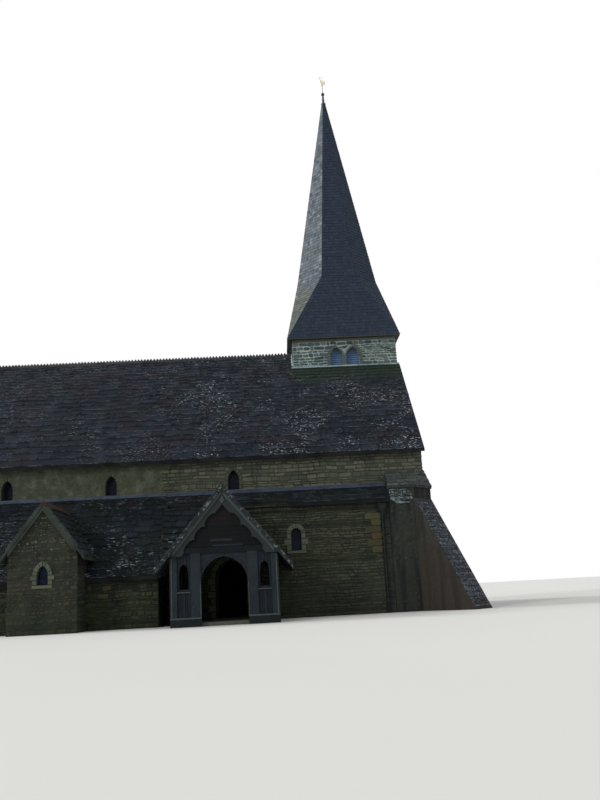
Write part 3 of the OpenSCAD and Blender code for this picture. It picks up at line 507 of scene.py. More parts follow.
class Heap:
    """Closed prisms gathered into one mesh, each with a tone from 0 to 1 for its finish."""

    def __init__(self):
        self.points, self.faces, self.tones, self.count = [], [], [], 0

    def prisms(self, low, high, tones=None, rim=0.0):
        """Prisms between low and high outlines, arrays of (how many, corners, 3), turned right side out.

        rim is added to the tones of the faces round the outline.
        """
        low, high = (np.asarray(a, float).reshape(-1, *np.shape(a)[-2:]) for a in (low, high))
        way = np.cross(high, np.roll(high, -1, axis=1)).sum(1) * (high.mean(1) - low.mean(1))
        swap = (way.sum(1) < 0)[:, None, None]
        low, high = np.where(swap, high, low), np.where(swap, low, high)
        many, corners = low.shape[:2]
        ring = np.arange(corners)
        ahead = np.roll(ring, -1)
        walls = np.stack([ring, ahead, ahead + corners, ring + corners], 1)
        first = self.count + 2 * corners * np.arange(many)[:, None]
        self.faces += (first + ring[::-1]).tolist() + (first + ring + corners).tolist()
        self.faces += (first[:, None, :] + walls).reshape(-1, 4).tolist()
        self.points.append(np.concatenate([low, high], 1).reshape(-1, 3))
        tones = rng.random(many) if tones is None else np.broadcast_to(np.asarray(tones, float), many)
        self.tones += [*tones, *tones, *np.repeat(tones + rim, corners)]
        self.count += 2 * corners * many
        return self

    def sheet(self, front, back, quads):
        """A closed sheet from quads of its front points, with the same behind and walls round its edges."""
        used, quads = np.unique(quads, return_inverse=True)
        quads = quads.reshape(-1, 4)
        edges = set(zip(quads.ravel().tolist(), np.roll(quads, -1, axis=1).ravel().tolist()))
        free = np.array(sorted((b, a) for a, b in edges if (b, a) not in edges))
        faces = [quads, quads[:, ::-1] + len(used), np.concatenate([free, free[:, ::-1] + len(used)], 1)]
        faces = np.concatenate(faces)
        self.faces += (faces + self.count).tolist()
        self.points += [front[used], back[used]]
        self.tones += [0.5] * len(faces)
        self.count += 2 * len(used)
        return self

    def on(self, side, quads, front, bevel, back=-0.002, tones=None, rim=0.0):
        """Quads of a side raised from depth back to depth front, with the front drawn in by bevel."""
        quads = np.asarray(quads, float)
        if not len(quads):
            return self
        middle = quads.mean(1, keepdims=True)
        inset = np.sign(middle - quads) * np.minimum(bevel, np.abs(middle - quads) * 0.6)
        return self.prisms(side.place(quads, back), side.place(quads + inset, front), tones, rim)


def piece(name, heap, finish, body="church", stands_for=()):
    """One mesh object from a heap, riding on a body."""
    mesh = bpy.data.meshes.new(name)
    mesh.from_pydata(np.concatenate(heap.points).tolist(), [], heap.faces)
    mesh.attributes.new("tone", "FLOAT", "FACE").data.foreach_set("value", np.array(heap.tones, np.float32))
    mesh.materials.append(finish.material)
    made = bpy.data.objects.new(name, mesh)
    bpy.context.collection.objects.link(made)
    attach(made, body)
    if stands_for:
        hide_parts(*stands_for)


def steps(low, high, start, end, wobble):
    """Heights from low to high in steps that change from start to end."""
    marks = [low]
    while marks[-1] < high - 0.3 * end:
        share = (marks[-1] - low) / (high - low)
        marks.append(marks[-1] + (start + (end - start) * share) * (1 + rng.uniform(-wobble, wobble)))
    marks[-1] = high
    return marks


def rows(side, marks, width, joint, halve=0.0, wobble=0.25):
    """Blocks in level rows between the marks, as quads of the side, with ends cut to its outline.

    width is the blocks' width, or gives it from a row's height. halve is the share of rows split in two.
    """
    quads = []

    def fill(v0, v1, left, right, wide):
        """left and right are the (bottom, top) ends of a stretch."""
        inner = (max(left), min(right))
        count = max(1, round((inner[1] - inner[0]) / wide)) if inner[1] > inner[0] else 1
        cuts = np.linspace(*inner, count + 1)[1:-1]
        cuts = cuts + rng.uniform(-wobble, wobble, len(cuts)) * wide
        bottoms, tops = [left[0], *cuts, right[0]], [left[1], *cuts, right[1]]
        for a, b, c, d in zip(bottoms, bottoms[1:], tops[1:], tops):
            quads.append([(a, v0), (b, v0), (c, v1), (d, v1)])

    for v0, v1 in zip(marks, marks[1:]):
        wide = width(v1 - v0) if callable(width) else width
        low, high = side.spans(v0 + 1e-3), side.spans(v1 - 1e-3)
        if len(low) != len(high):
            low = high = side.spans((v0 + v1) / 2)
        for (a0, a1), (b0, b1) in zip(low, high):
            if max(a1 - a0, b1 - b0) < joint * 2 + 0.02:
                continue
            if halve and rng.random() < halve:
                share = rng.uniform(0.35, 0.65)
                v = v0 + (v1 - v0) * share
                left, right = a0 + (b0 - a0) * share, a1 + (b1 - a1) * share
                fill(v0, v, (a0, left), (a1, right), wide)
                fill(v, v1, (left, b0), (right, b1), wide * 1.2)
            else:
                fill(v0, v1, (a0, b0), (a1, b1), wide * rng.uniform(0.8, 1.25))
    quads = np.array(quads, float)
    if joint and len(quads):
        middle = quads.mean(1, keepdims=True)
        quads = quads + np.sign(middle - quads) * np.minimum(joint / 2, np.abs(middle - quads) * 0.4)
    return quads


WHOLE = 99.0  # a width that leaves a row in one piece
HIGHEST_COURSE, COURSE = 24.0, 0.16
COURSES = np.array(steps(0.0, HIGHEST_COURSE, COURSE, COURSE, 0.4))
Laid = namedtuple("Laid", "height width joint halve chips wobble askew jumble proud")
WAVES = rng.normal(0.0, 1.0, (9, 2))
WAVE_STARTS = rng.uniform(0.0, 2 * math.pi, 9)


def drift(points, length):
    """Smooth numbers between about -1 and 1 over the points of a side, in waves about length metres long."""
    return np.sin(points @ WAVES.T * (2 * math.pi / length) + WAVE_STARTS).sum(-1) / 4


def wander(side, quads, amount):
    """Lets the courses of a side rise and fall, except along its edges."""
    wave, margin = 2.4, 0.4
    low, high = side.reach()
    room = np.minimum(quads - low, high - quads).min(-1)
    quads[..., 1] += drift(quads, wave) * amount * np.clip(room / margin, 0, 1)


def chipped(quads, low, high):
    """Quads as outlines of eight corners, each true corner knocked off by low to high metres."""
    before, after = np.roll(quads, 1, axis=1) - quads, np.roll(quads, -1, axis=1) - quads
    both = np.stack([before, after], 2)
    lengths = np.linalg.norm(both, axis=-1, keepdims=True) + 1e-6
    cuts = np.minimum(rng.uniform(low, high, lengths.shape), lengths * 0.34)
    return (quads[:, :, None] + both / lengths * cuts).reshape(len(quads), -1, 2)


def rubble(side, heap, laid, base=0.0):
    """Coursed rubble over a side. Every wall shares one run of courses, so they meet at corners.

    laid's height scales the courses, which start from base. halve is the share of courses split in two, and
    wobble is how much the stones' widths vary. chips and proud are the least and the most that a stone's
    corners lose and that it stands out. askew is how far each is turned, in radians, and jumble the most of
    its height that it loses, so that it sits out of line.
    """
    least, uneven, sunk, bevel = 0.04, 0.005, 0.006, 0.01
    (_, low), (_, high) = side.reach()
    marks = [v for v in COURSES * laid.height + base if low + least < v < high - least]
    quads = rows(side, [low, *marks, high], laid.width, laid.joint, laid.halve, laid.wobble)
    if not len(quads):
        return
    many = (len(quads), 1)
    middle = quads.mean(1, keepdims=True)
    if laid.askew:
        turn = rng.normal(0, laid.askew, (*many, 1))
        quads += (quads - middle)[..., ::-1] * (-1, 1) * turn
    if laid.jumble:
        loss = rng.uniform(0, laid.jumble, many)
        up = quads[..., 1] - middle[..., 1]
        quads[..., 1] += loss * (rng.uniform(-0.5, 0.5, many) * np.ptp(up, axis=1)[:, None] - up)
    wander(side, quads, 0.022)
    quads += rng.uniform(-uneven, uneven, quads.shape)
    quads[..., 1] = quads[..., 1].clip(low, high)
    front = rng.uniform(*laid.proud, many) + rng.uniform(-0.003, 0.003, (len(quads), 8))
    heap.on(side, chipped(quads, *laid.chips), front, bevel, -sunk)


def coat(side, heap, step, thick, uneven, soft, share=None):
    """A coat of uneven render over a side, thinning to nothing over soft metres at its edges.

    share gives how thick it is from its points: 1 is whole, and at 0 it sinks into the wall.
    """
    sunk, behind = 0.02, 0.03
    low, high = side.reach()
    across, heights = (
        np.linspace(a, b, max(3, round(length / step)) + 1)
        for a, b, length in ((0, 1, high[0] - low[0]), (low[1], high[1], high[1] - low[1]))
    )
    ends = [side.crossings(side.loops, min(max(v, low[1] + 1e-3), high[1] - 1e-3))[0] for v in heights]
    grid = np.array([[(a + (b - a) * t, v) for t in across] for (a, b), v in zip(ends, heights)])
    room = np.minimum(grid[..., 1] - low[1], high[1] - grid[..., 1])
    room = np.minimum(room, np.minimum(grid[..., 0] - grid[:, :1, 0], grid[:, -1:, 0] - grid[..., 0]))
    depth = thick + uneven * (0.6 * drift(grid, 0.9) + 0.4 * drift(grid, 0.23))
    depth *= np.clip(room / soft, 0.15, 1)
    if share:
        depth = (depth + sunk) * share(grid) - sunk
    index = np.arange(grid[..., 0].size).reshape(grid.shape[:2])
    quads = np.stack([index[:-1, :-1], index[:-1, 1:], index[1:, 1:], index[1:, :-1]], -1).reshape(-1, 4)
    flat = grid.reshape(-1, 2)
    kept = [any(a <= u <= b for a, b in side.spans(v)) for u, v in flat[quads].mean(1)]
    return heap.sheet(side.place(flat, depth.ravel()), side.place(flat, -behind), quads[kept])


def slabs(side, heap, start, end, width, thick, ragged, foot, chip=0.0, verge=0.0, waver=0.0, tones=None):
    """Courses of slabs or shingles from the eaves up, each tail lying on the heads below.

    start and end are the courses' heights at the eaves and at the top. ragged is how unevenly the tails
    hang, foot how far up the first course starts, chip the most that the tails' corners are broken off,
    verge how unevenly the end slabs stop at the outline, and waver how far the courses stray. tones gives
    the slabs' tones from how many they are.
    """
    lap, gap = 0.03, 0.004
    (left, low), (right, high) = side.reach()
    quads = rows(side, steps(low + foot, high, start, end, 0.06), width, 0.0, 0.0, 0.22)
    many = len(quads)
    if not many:
        return heap
    at_left, at_right = quads[:, 0, 0] < left + 0.02, quads[:, 1, 0] > right - 0.02
    quads[:, (0, 3), 0] += (gap + at_left * rng.uniform(0, verge, many))[:, None]
    quads[:, (1, 2), 0] -= (gap + at_right * rng.uniform(0, verge, many))[:, None]
    first = quads[:, 0, 1] < low + foot + 0.01
    hanging = np.where(first, min(1.0, foot / ragged), 1.0)[:, None]
    quads[:, :2, 1] += rng.uniform(-ragged, ragged, (many, 2)) * hanging
    wander(side, quads, waver)
    quads[:, 2:, 1] = np.minimum(quads[:, 2:, 1] + lap, high)
    tail = 2
    if chip:
        cuts = rng.uniform(0, chip, (many, 4))
        cuts[:, :2] *= 1.6
        tail = 4
        corners = np.repeat(quads[:, :2], 2, axis=1)
        corners[:, 1, 0] += cuts[:, 0]
        corners[:, 2, 0] -= cuts[:, 1]
        corners[:, (0, 3), 1] += cuts[:, 2:]
        quads = np.concatenate([corners, quads[:, 2:]], 1)
    body = thick * rng.uniform(0.7, 1.3, (many, 1))
    rest = thick * 0.35
    back = np.array([rest] * tail + [0.0, 0.0]) - 0.002
    front = np.concatenate([np.repeat(body + rest, tail, 1), np.full((many, 2), rest * 0.8)], 1)
    return heap.on(side, quads, front, 0.0, back, tones(many) if tones else None, RIM)


def boards(side, heap, width, thick):
    """Upright boards over a side, as rows of the same side turned to run up it."""
    turned = Side(side.out, 0.0)
    turned.origin, turned.along, turned.up = side.origin, side.up, -side.along
    turned.loops, turned.keep_out = (
        [loop[:, ::-1] * (1, -1) for loop in loops] for loops in (side.loops, side.keep_out)
    )
    (_, low), (_, high) = turned.reach()
    marks = np.linspace(low, high, max(2, round((high - low) / width) + 1))
    heap.on(turned, rows(turned, marks, WHOLE, 0.008, 0.0, 0.0), thick, 0.004)


def opening(middle, width, sill, spring, rise):
    """The facts of a pointed or round opening: its place and the radius of the arcs of its head."""
    arc, top = (width * width / 4 + rise * rise) / width, spring + rise
    return {"middle": middle, "half": width / 2, "sill": sill, "spring": spring, "arc": arc, "top": top}


def frame_loop(hole, reach):
    """The outline of an opening's dressings, for rubble to stop at."""
    half, arc = hole["half"] + reach, hole["arc"] + reach
    drop = hole["arc"] - hole["half"]
    last = math.acos(min(1.0, drop / arc))
    turn = np.linspace(0, last, 7)
    right = np.stack([hole["middle"] - drop + arc * np.cos(turn), hole["spring"] + arc * np.sin(turn)], 1)
    left = right[::-1] * (-1, 1) + (2 * hole["middle"], 0)
    foot = hole["sill"] - reach * 0.6
    return [(hole["middle"] - half, foot), (hole["middle"] + half, foot), *right, *left]


def dressings(side, heap, hole, stop, reach, long_reach, proud, depth=0.2, voussoirs=4, inner=(1, 1)):
    """Jamb stones, arch stones and a sill round an opening, which rubble stops short of by stop.

    inner scales the reach on the left and on the right.
    """
    side.blocking(frame_loop(hole, stop))
    lap, tall, joint, sill_height = 0.006, 0.24, 0.004, 0.12
    m, half, arc = hole["middle"], hole["half"] - lap, hole["arc"] - lap
    drop, low, spring = hole["arc"] - hole["half"], hole["sill"], hole["spring"]
    quads = []
    for sign, share in zip((-1, 1), inner):
        marks = np.linspace(low, spring, max(2, round((spring - low) / tall)) + 1)
        stones = []
        for i, (v0, v1) in enumerate(zip(marks, marks[1:])):
            far = half + (long_reach if i % 2 and share == 1 else reach) * share
            stones.append([(half, v0), (far, v0), (far, v1), (half, v1)])
        outer = arc + reach * share
        near, far = (np.linspace(0, math.acos(min(1.0, drop / r)), voussoirs + 1) for r in (arc, outer))
        for i in range(voussoirs):
            ring = ((arc, near[i]), (outer, far[i]), (outer, far[i + 1]), (arc, near[i + 1]))
            stones.append([(r * math.cos(t) - drop, spring + r * math.sin(t)) for r, t in ring])
        for stone in stones:
            a, b, c, d = ((m + sign * u, v) for u, v in stone)
            quads.append([a, b, c, d] if sign == 1 else [b, a, d, c])
    quads = np.array(quads)
    quads += np.sign(quads.mean(1, keepdims=True) - quads) * joint
    heap.on(side, quads, proud, 0.008, -depth)
    sill = box_loop(m - half - reach * inner[0], low - sill_height, m + half + reach * inner[1], low)
    heap.on(side, [sill], proud + 0.02, 0.01, -depth)


def leading(side, heap, hole):
    """Diamond leading over a window, cut to its opening."""
    spacing, bar, shortest, tilt = 0.11, 0.008, 0.03, math.radians(58)
    loop = np.array(frame_loop(hole, 0.0))
    loop[:2, 1] = hole["sill"]
    for sign in (-1, 1):
        way = np.array([math.cos(tilt), sign * math.sin(tilt)])
        across = np.array([-way[1], way[0]])
        reaches = loop @ across / spacing
        for d in np.arange(math.ceil(reaches.min()), math.floor(reaches.max()) + 1) * spacing:
            marks = []
            for a, b in zip(loop, np.roll(loop, -1, axis=0)):
                fa, fb = a @ across - d, b @ across - d
                if (fa > 0) != (fb > 0):
                    marks.append((a + (b - a) * fa / (fa - fb)) @ way)
            marks.sort()
            for start, end in zip(marks[::2], marks[1::2]):
                if end - start < shortest:
                    continue
                corners = ((start, -1), (end, -1), (end, 1), (start, 1))
                quad = [across * d + way * t + s * across * bar / 2 for t, s in corners]
                heap.on(side, [quad], bar, 0.001, 0.0, [0.5])


def box_loop(left, low, right, high):
    return np.array([(left, low), (right, low), (right, high), (left, high)])


# Frame nodes


def dress_nodes():
    """Gives every CAD node its finish."""
    looks = {
        CREAM_MORTAR: "tower_north_wall tower_south_wall tower_east_wall tower_west_wall",
        OLIVE_MORTAR: "nave_north_clerestory nave_south_clerestory nave_east_wall nave_west_wall",
        CHAPEL_MORTAR: "chapel_walls",
        DARK_MORTAR: "north_aisle_wall south_aisle_wall aisle_end_walls west_bay_wall",
        PIER_STONE: "corner_pier",
        ROUGHCAST: "raking_buttress",
        PLASTER: "nave_north_arcade nave_south_arcade",
        PIER_SLABS: "pier_weathering",
        ROOF_BED: "nave_roof_north nave_roof_south north_aisle_roof south_aisle_roof west_bay_roof",
        SLAB_EDGES: "porch_roof",
        VERGE_MORTAR: "chapel_roof",
        FLAGSTONE: "church_floor porch_floor",
        LOUVRE_PAINT: "belfry_louvres",
        EAVES_PLATE_PAINTED_LIGHT: "spire_plate",
        SPIRE_BOARDS_PAINTED_LIGHT: "spire_splay spire_octagon",
        LEAD: "spire_finial",
        PALE_GILT_AND_SHEEN: "weathercock",
        GLASS: "window_glass",
        PIPE_IRON: "rainwater_pipe",
        RIDGE_CLAY: "nave_ridge_tiles",
        OAK_SIDE: "porch_sills porch_wall_plates",
        OAK_POSTS: "porch_front_posts",
        OAK_LEVEL: "porch_tie_beam",
        OAK_SPANDREL: "porch_door_arch",
        OAK_BOARDS: "porch_side_walls porch_front_boards",
        OAK_GABLE_PAINTED_SHADE: "porch_rafters",
        OAK_RAKING: "porch_bargeboards",
    }
    for finish, names in looks.items():
        for name in names.split():
            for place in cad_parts[name].material_slots:
                place.material = finish.material


dress_nodes()


# Openings, as in the frame

LANCET = {"width": 0.45, "sill": 5.1, "spring": 5.53, "rise": 0.39}
LANCETS = [opening(x, **LANCET) for x in (-6.75, -2.6, 2.33)]
EAST_LANCETS = [opening(y, **LANCET) for y in (-1.35, 0.0, 1.35)]
TOWER_LANCET = opening(TOWER_Y, **LANCET)
CHAPEL_LANCET = opening(CHAPEL_X, 0.38, 1.65, 1.98, 0.33)
BAY_WINDOW = opening(4.74, 0.39, 2.54, 3.205, 0.195)
CHURCH_DOOR = opening(PORCH_X, 1.2, 0.15, 1.65, 0.66)
BELL_LIGHTS = [opening(s * 0.385, 0.6, 11.3, 11.73, 0.45) for s in (-1, 1)]


def moved(hole, shift, mirror=1):
    return {**hole, "middle": hole["middle"] * mirror + shift}


# Walls

BLOCKS = Laid(1.2, 0.33, 0.018, 0.35, (0.01, 0.06), 0.42, 0.03, 0.16, (0.006, 0.022))
RAGSTONE = Laid(1.0, 0.27, 0.022, 0.45, (0.015, 0.07), 0.5, 0.08, 0.35, (0.012, 0.03))
FIELD = Laid(0.9, 0.25, 0.018, 0.35, (0.008, 0.04), 0.5, 0.06, 0.3, (0.012, 0.03))
SQUARED = Laid(1.7, 0.5, 0.02, 0.15, (0.008, 0.04), 0.25, 0.0, 0.0, (0.008, 0.022))
SMALL_RUBBLE = Laid(0.76, 0.17, 0.02, 0.4, (0.015, 0.06), 0.5, 0.12, 0.35, (0.004, 0.022))
THIN_RUBBLE = Laid(0.68, 0.26, 0.013, 0.3, (0.006, 0.04), 0.5, 0.05, 0.32, (0.004, 0.026))
PATCH = Laid(0.95, 0.17, 0.008, 0.4, (0.02, 0.06), 0.5, 0.14, 0.16, (0.03, 0.045))
COPING = Laid(1.1, 0.24, 0.02, 0.35, (0.02, 0.08), 0.4, 0.12, 0.0, (0.006, 0.026))


def clerestory():
    """The nave's walls: the clerestories over the aisles and the gable ends."""
    stones, trim = Heap(), Heap()
    roof_foot = LEAN_TOP - 0.02
    for node, direction, mirror, low in (
        ("nave_north_clerestory", NORTH, 1, roof_foot),
        ("nave_south_clerestory", SOUTH, -1, ARCADE_TOP),
    ):
        side = outermost(node, direction)
        side.loops = [box_loop(-NAVE_END, low, NAVE_END, side.reach()[1][1])]
        for hole in LANCETS:
            dressings(side, trim, moved(hole, 0.0, mirror), 0.13, 0.14, 0.2, proud=0.022)
        rubble(side, stones, BLOCKS)
    washed = outermost("nave_north_clerestory", NORTH)
    washed.loops = [box_loop(-NAVE_END, roof_foot, 1.0, washed.reach()[1][1])]
    washed.blocking(*[frame_loop(hole, 0.09) for hole in LANCETS])

    def left_on(at):
        """The wash is whole in the east and has worn off towards the west."""
        return np.clip(0.2 - at[..., 0] - drift(at, 2.0), 0, 1)

    lime = coat(washed, Heap(), 0.07, thick=0.019, uneven=0.006, soft=0.04, share=left_on)
    piece("clerestory_limewash", lime, LIMEWASH)
    lower = outermost("nave_south_arcade", SOUTH)
    lower.loops = [box_loop(-NAVE_END, 0.0, -SOUTH_AISLE_END, ARCADE_TOP)]
    east = outermost("nave_east_wall", EAST)
    for hole in EAST_LANCETS:
        dressings(east, trim, hole, 0.14, 0.14, 0.24, proud=0.028)
    edge = TOWER_Y + TOWER_HALF
    strip = Side(WEST, NAVE_END, [[(edge, 0.0), (NAVE_SIDE, 0.0), (NAVE_SIDE, 6.6), (edge, 7.529)]])
    for side in (lower, east, outermost("nave_west_wall", WEST), strip):
        rubble(side, stones, BLOCKS)
    piece("nave_stones", stones, SANDSTONE)
    piece("nave_window_stones", trim, DRESSED_STONE)


def nave_height(y):
    return NAVE_RIDGE - NAVE_SLOPE * abs(y)


def tower_side(direction):
    """A plain side of the tower, and where its middle is along it."""
    side = Side(direction, float(np.dot(direction, (TOWER_X, TOWER_Y, 0))) + TOWER_HALF)
    return side, float(side.along @ (TOWER_X, TOWER_Y, 0))


def tower():
    """The tower's rubble above the roofs and down its west side, with tan stone round the bell openings."""
    stones, trim, arches = Heap(), Heap(), Heap()
    low, high = TOWER_Y - TOWER_HALF, TOWER_Y + TOWER_HALF
    under, far, top = 0.06, 20.0, 12.5
    over_north, over_ridge, over_south = (nave_height(y) - under for y in (low, 0.0, high))
    hidden = {
        NORTH: box_loop(-far, -1, far, over_north),
        SOUTH: box_loop(-far, -1, far, over_south),
        EAST: [(-high - 1, -1), (-high - 1, over_south), (-high, over_south), (0.0, over_ridge)]
        + [(-low, over_north), (-low + 1, over_north), (-low + 1, -1)],
    }
    for direction, bottom in ((NORTH, 10.9), (SOUTH, 7.4), (EAST, 7.4), (WEST, 0.0)):
        side, middle = tower_side(direction)
        side.loops = [box_loop(middle - TOWER_HALF, bottom, middle + TOWER_HALF, top)]
        if direction in hidden:
            side.blocking(hidden[direction])
        for light, inner in zip(BELL_LIGHTS, ((1, 0.48), (0.48, 1))):
            deep = {"proud": 0.05, "depth": 0.16, "voussoirs": 5, "inner": inner}
            dressings(side, arches, moved(light, middle), 0.15, 0.17, 0.17, **deep)
        if direction == WEST:
            dressings(side, trim, TOWER_LANCET, 0.14, 0.14, 0.24, proud=0.036)
        rubble(side, stones, RAGSTONE)
    piece("tower_stones", stones, TOWER_STONE)
    piece("belfry_arches", arches, TAN_STONE)
    piece("tower_window_stones", trim, DRESSED_STONE)


def bell_boards():
    """Close-set painted boards in the bell openings, sloping down and out."""
    heap = Heap()
    outer, inner, rise, thick, pitch = -0.2, -0.28, 0.15, 0.02, 0.108
    for direction in (NORTH, SOUTH, EAST, WEST):
        side, middle = tower_side(direction)
        for light in BELL_LIGHTS:
            for v in np.arange(light["sill"], light["top"] - 0.06, pitch):
                over = max(0.0, v + rise * 0.5 - light["spring"])
                half = math.sqrt(light["arc"] ** 2 - over**2) - light["arc"] + light["half"]
                section = [(outer, v), (outer, v + thick), (inner, v + rise + thick), (inner, v + rise)]
                ends = (middle + light["middle"] + along for along in (-half, half))
                heap.prisms(*[[side.place((at, up), depth) for depth, up in section] for at in ends])
    piece("bell_opening_boards", heap, LOUVRE_PAINT, stands_for=("belfry_louvres",))


def low_walls():
    """The aisles in field rubble, and the chapel in smaller stones."""
    stones, trim, small = Heap(), Heap(), Heap()
    ends = (NAVE_END, NORTH_AISLE_END, SOUTH_AISLE_END)
    for node, direction in (
        ("north_aisle_wall", NORTH),
        ("south_aisle_wall", SOUTH),
        ("aisle_end_walls", EAST),
        ("aisle_end_walls", WEST),
    ):
        for side in sides(node, facing(direction)):
            if node != "aisle_end_walls" or round(abs(side.origin[0]), 2) in ends:
                rubble(side, stones, FIELD)
    front = outermost("chapel_walls", NORTH)
    dressings(front, trim, CHAPEL_LANCET, 0.12, 0.17, 0.24, proud=0.03, depth=0.15)
    for side in (front, outermost("chapel_walls", EAST), outermost("chapel_walls", WEST)):
        rubble(side, small, SMALL_RUBBLE)
    piece("aisle_stones", stones, FIELD_STONE)
    piece("chapel_stones", small, CHAPEL_STONE)
    piece("chapel_window_stones", trim, BAY_DRESSED)


def west_bay():
    """The bay beside the porch: thin rubble, ochre quoins by the pipe, and pier stones beyond it."""
    stones, trim, quoins, strip = Heap(), Heap(), Heap(), Heap()
    side, beyond = (outermost("west_bay_wall", NORTH) for _ in range(2))
    (left, bottom), (right, top) = side.reach()
    edge = PIPE_X - 0.05
    side.loops = [box_loop(left, bottom, edge, top)]
    beyond.loops = [box_loop(edge, bottom, right, top)]
    marks = np.linspace(2.3, 3.86, 7)
    for i, (v0, v1, tone) in enumerate(zip(marks, marks[1:], (0.2, 0.5, 1.0, 0.55, 0.1, 0.0))):
        reach = 0.62 if i % 2 else 0.42
        rough = box_loop(edge - reach, v0, edge, v1 - 0.006) + rng.uniform(-0.03, 0.03, (4, 2)) * (1, 0.15)
        quoins.on(side, chipped(rough[None], 0.02, 0.06), 0.022, 0.008, -0.01, [tone])
    side.blocking(box_loop(edge - 0.42, marks[0], edge + 1, marks[-1]))
    for hole, reach in ((BAY_WINDOW, 0.19), (CHURCH_DOOR, 0.2)):
        dressings(side, trim, hole, reach * 0.9, reach, reach * 1.5, proud=0.026, depth=0.3)
    rubble(side, stones, THIN_RUBBLE)
    rubble(beyond, strip, SQUARED)
    piece("west_bay_stones", stones, BAY_STONE)
    piece("west_bay_window_stones", trim, BAY_DRESSED)
    piece("west_bay_quoins", quoins, QUOIN_STONE)
    piece("west_bay_end_stones", strip, PIER_STONE)


def buttresses():
    """The rendered corner pier with its slab top and a pale patch, and the buttress under its coping."""
    render, coping, rough, pale, top = Heap(), Heap(), Heap(), Heap(), Heap()
    slanting, slant_foot = (1, -1, 0), 4.3
    for direction in (NORTH, WEST, EAST, SOUTH, slanting):
        side = outermost("corner_pier", direction)
        if direction == slanting:
            side.loops = [side.loops[0] * (1, 0) + np.maximum(side.loops[0], slant_foot) * (0, 1)]
        coat(side, render, 0.07, thick=0.014, uneven=0.012, soft=0.05)
    patch = [(8.5, 4.3), (8.8, 4.12), (9.2, 4.14), (9.44, 4.3), (9.4, 4.62), (9.1, 4.76), (8.5, 4.76)]
    rubble(Side(NORTH, -outermost("corner_pier", NORTH).origin[1], [patch]), pale, PATCH)
    for direction in ((1, 1, 0), (-1, -1, 0)):
        side = outermost("raking_buttress", direction)
        corners = side.loops[0]
        toe = corners[np.argmin(corners[:, 1] * 10 - np.abs(corners[:, 0]))]
        side.blocking(box_loop(toe[0] - 0.2, toe[1] - 1, toe[0] + 0.2, toe[1] + 0.3))
        coat(side, rough, 0.08, thick=0.008, uneven=0.008, soft=0.06)
    slope = sides("raking_buttress", facing_up)[0]
    (left, low), (right, high) = slope.reach()
    slope.loops = [box_loop(left + 0.02, low + 0.1, right - 0.02, high - 0.03)]
    rubble(slope, coping, COPING, low)
    for side in sides("pier_weathering", lambda n: n[2] > 0.1):
        slabs(side, top, 0.24, 0.2, 0.34, 0.026, ragged=0.02, foot=0.01, chip=0.06)
    piece("pier_render", render, PIER_STONE)
    piece("buttress_render", rough, ROUGHCAST)
    piece("pier_bleached_blocks", pale, BLEACHED_STONE)
    piece("raking_coping_stones", coping, COPING_STONE)
    piece("pier_top_slabs", top, PIER_SLABS)


def windows():
    """Diamond leading over the outside of every window, on the glass, whose distance from 0 is given."""
    bars = Heap()
    for direction, glass, holes in (
        (NORTH, 4.58, LANCETS),
        (SOUTH, 4.58, [moved(hole, 0.0, -1) for hole in LANCETS]),
        (EAST, 9.62, EAST_LANCETS),
        (WEST, 9.67, [TOWER_LANCET]),
        (NORTH, 5.35, [BAY_WINDOW]),
        (NORTH, 8.8, [CHAPEL_LANCET]),
    ):
        for hole in holes:
            leading(Side(direction, glass), bars, hole)
    piece("window_leading", bars, CAME_LEAD)


# Roofs


def slab_width(height):
    return 0.24 + 0.75 * height


def on_lean(x, y):
    return (x, y, LEAN_TOP - LEAN_SLOPE * (abs(y) - NAVE_SIDE))


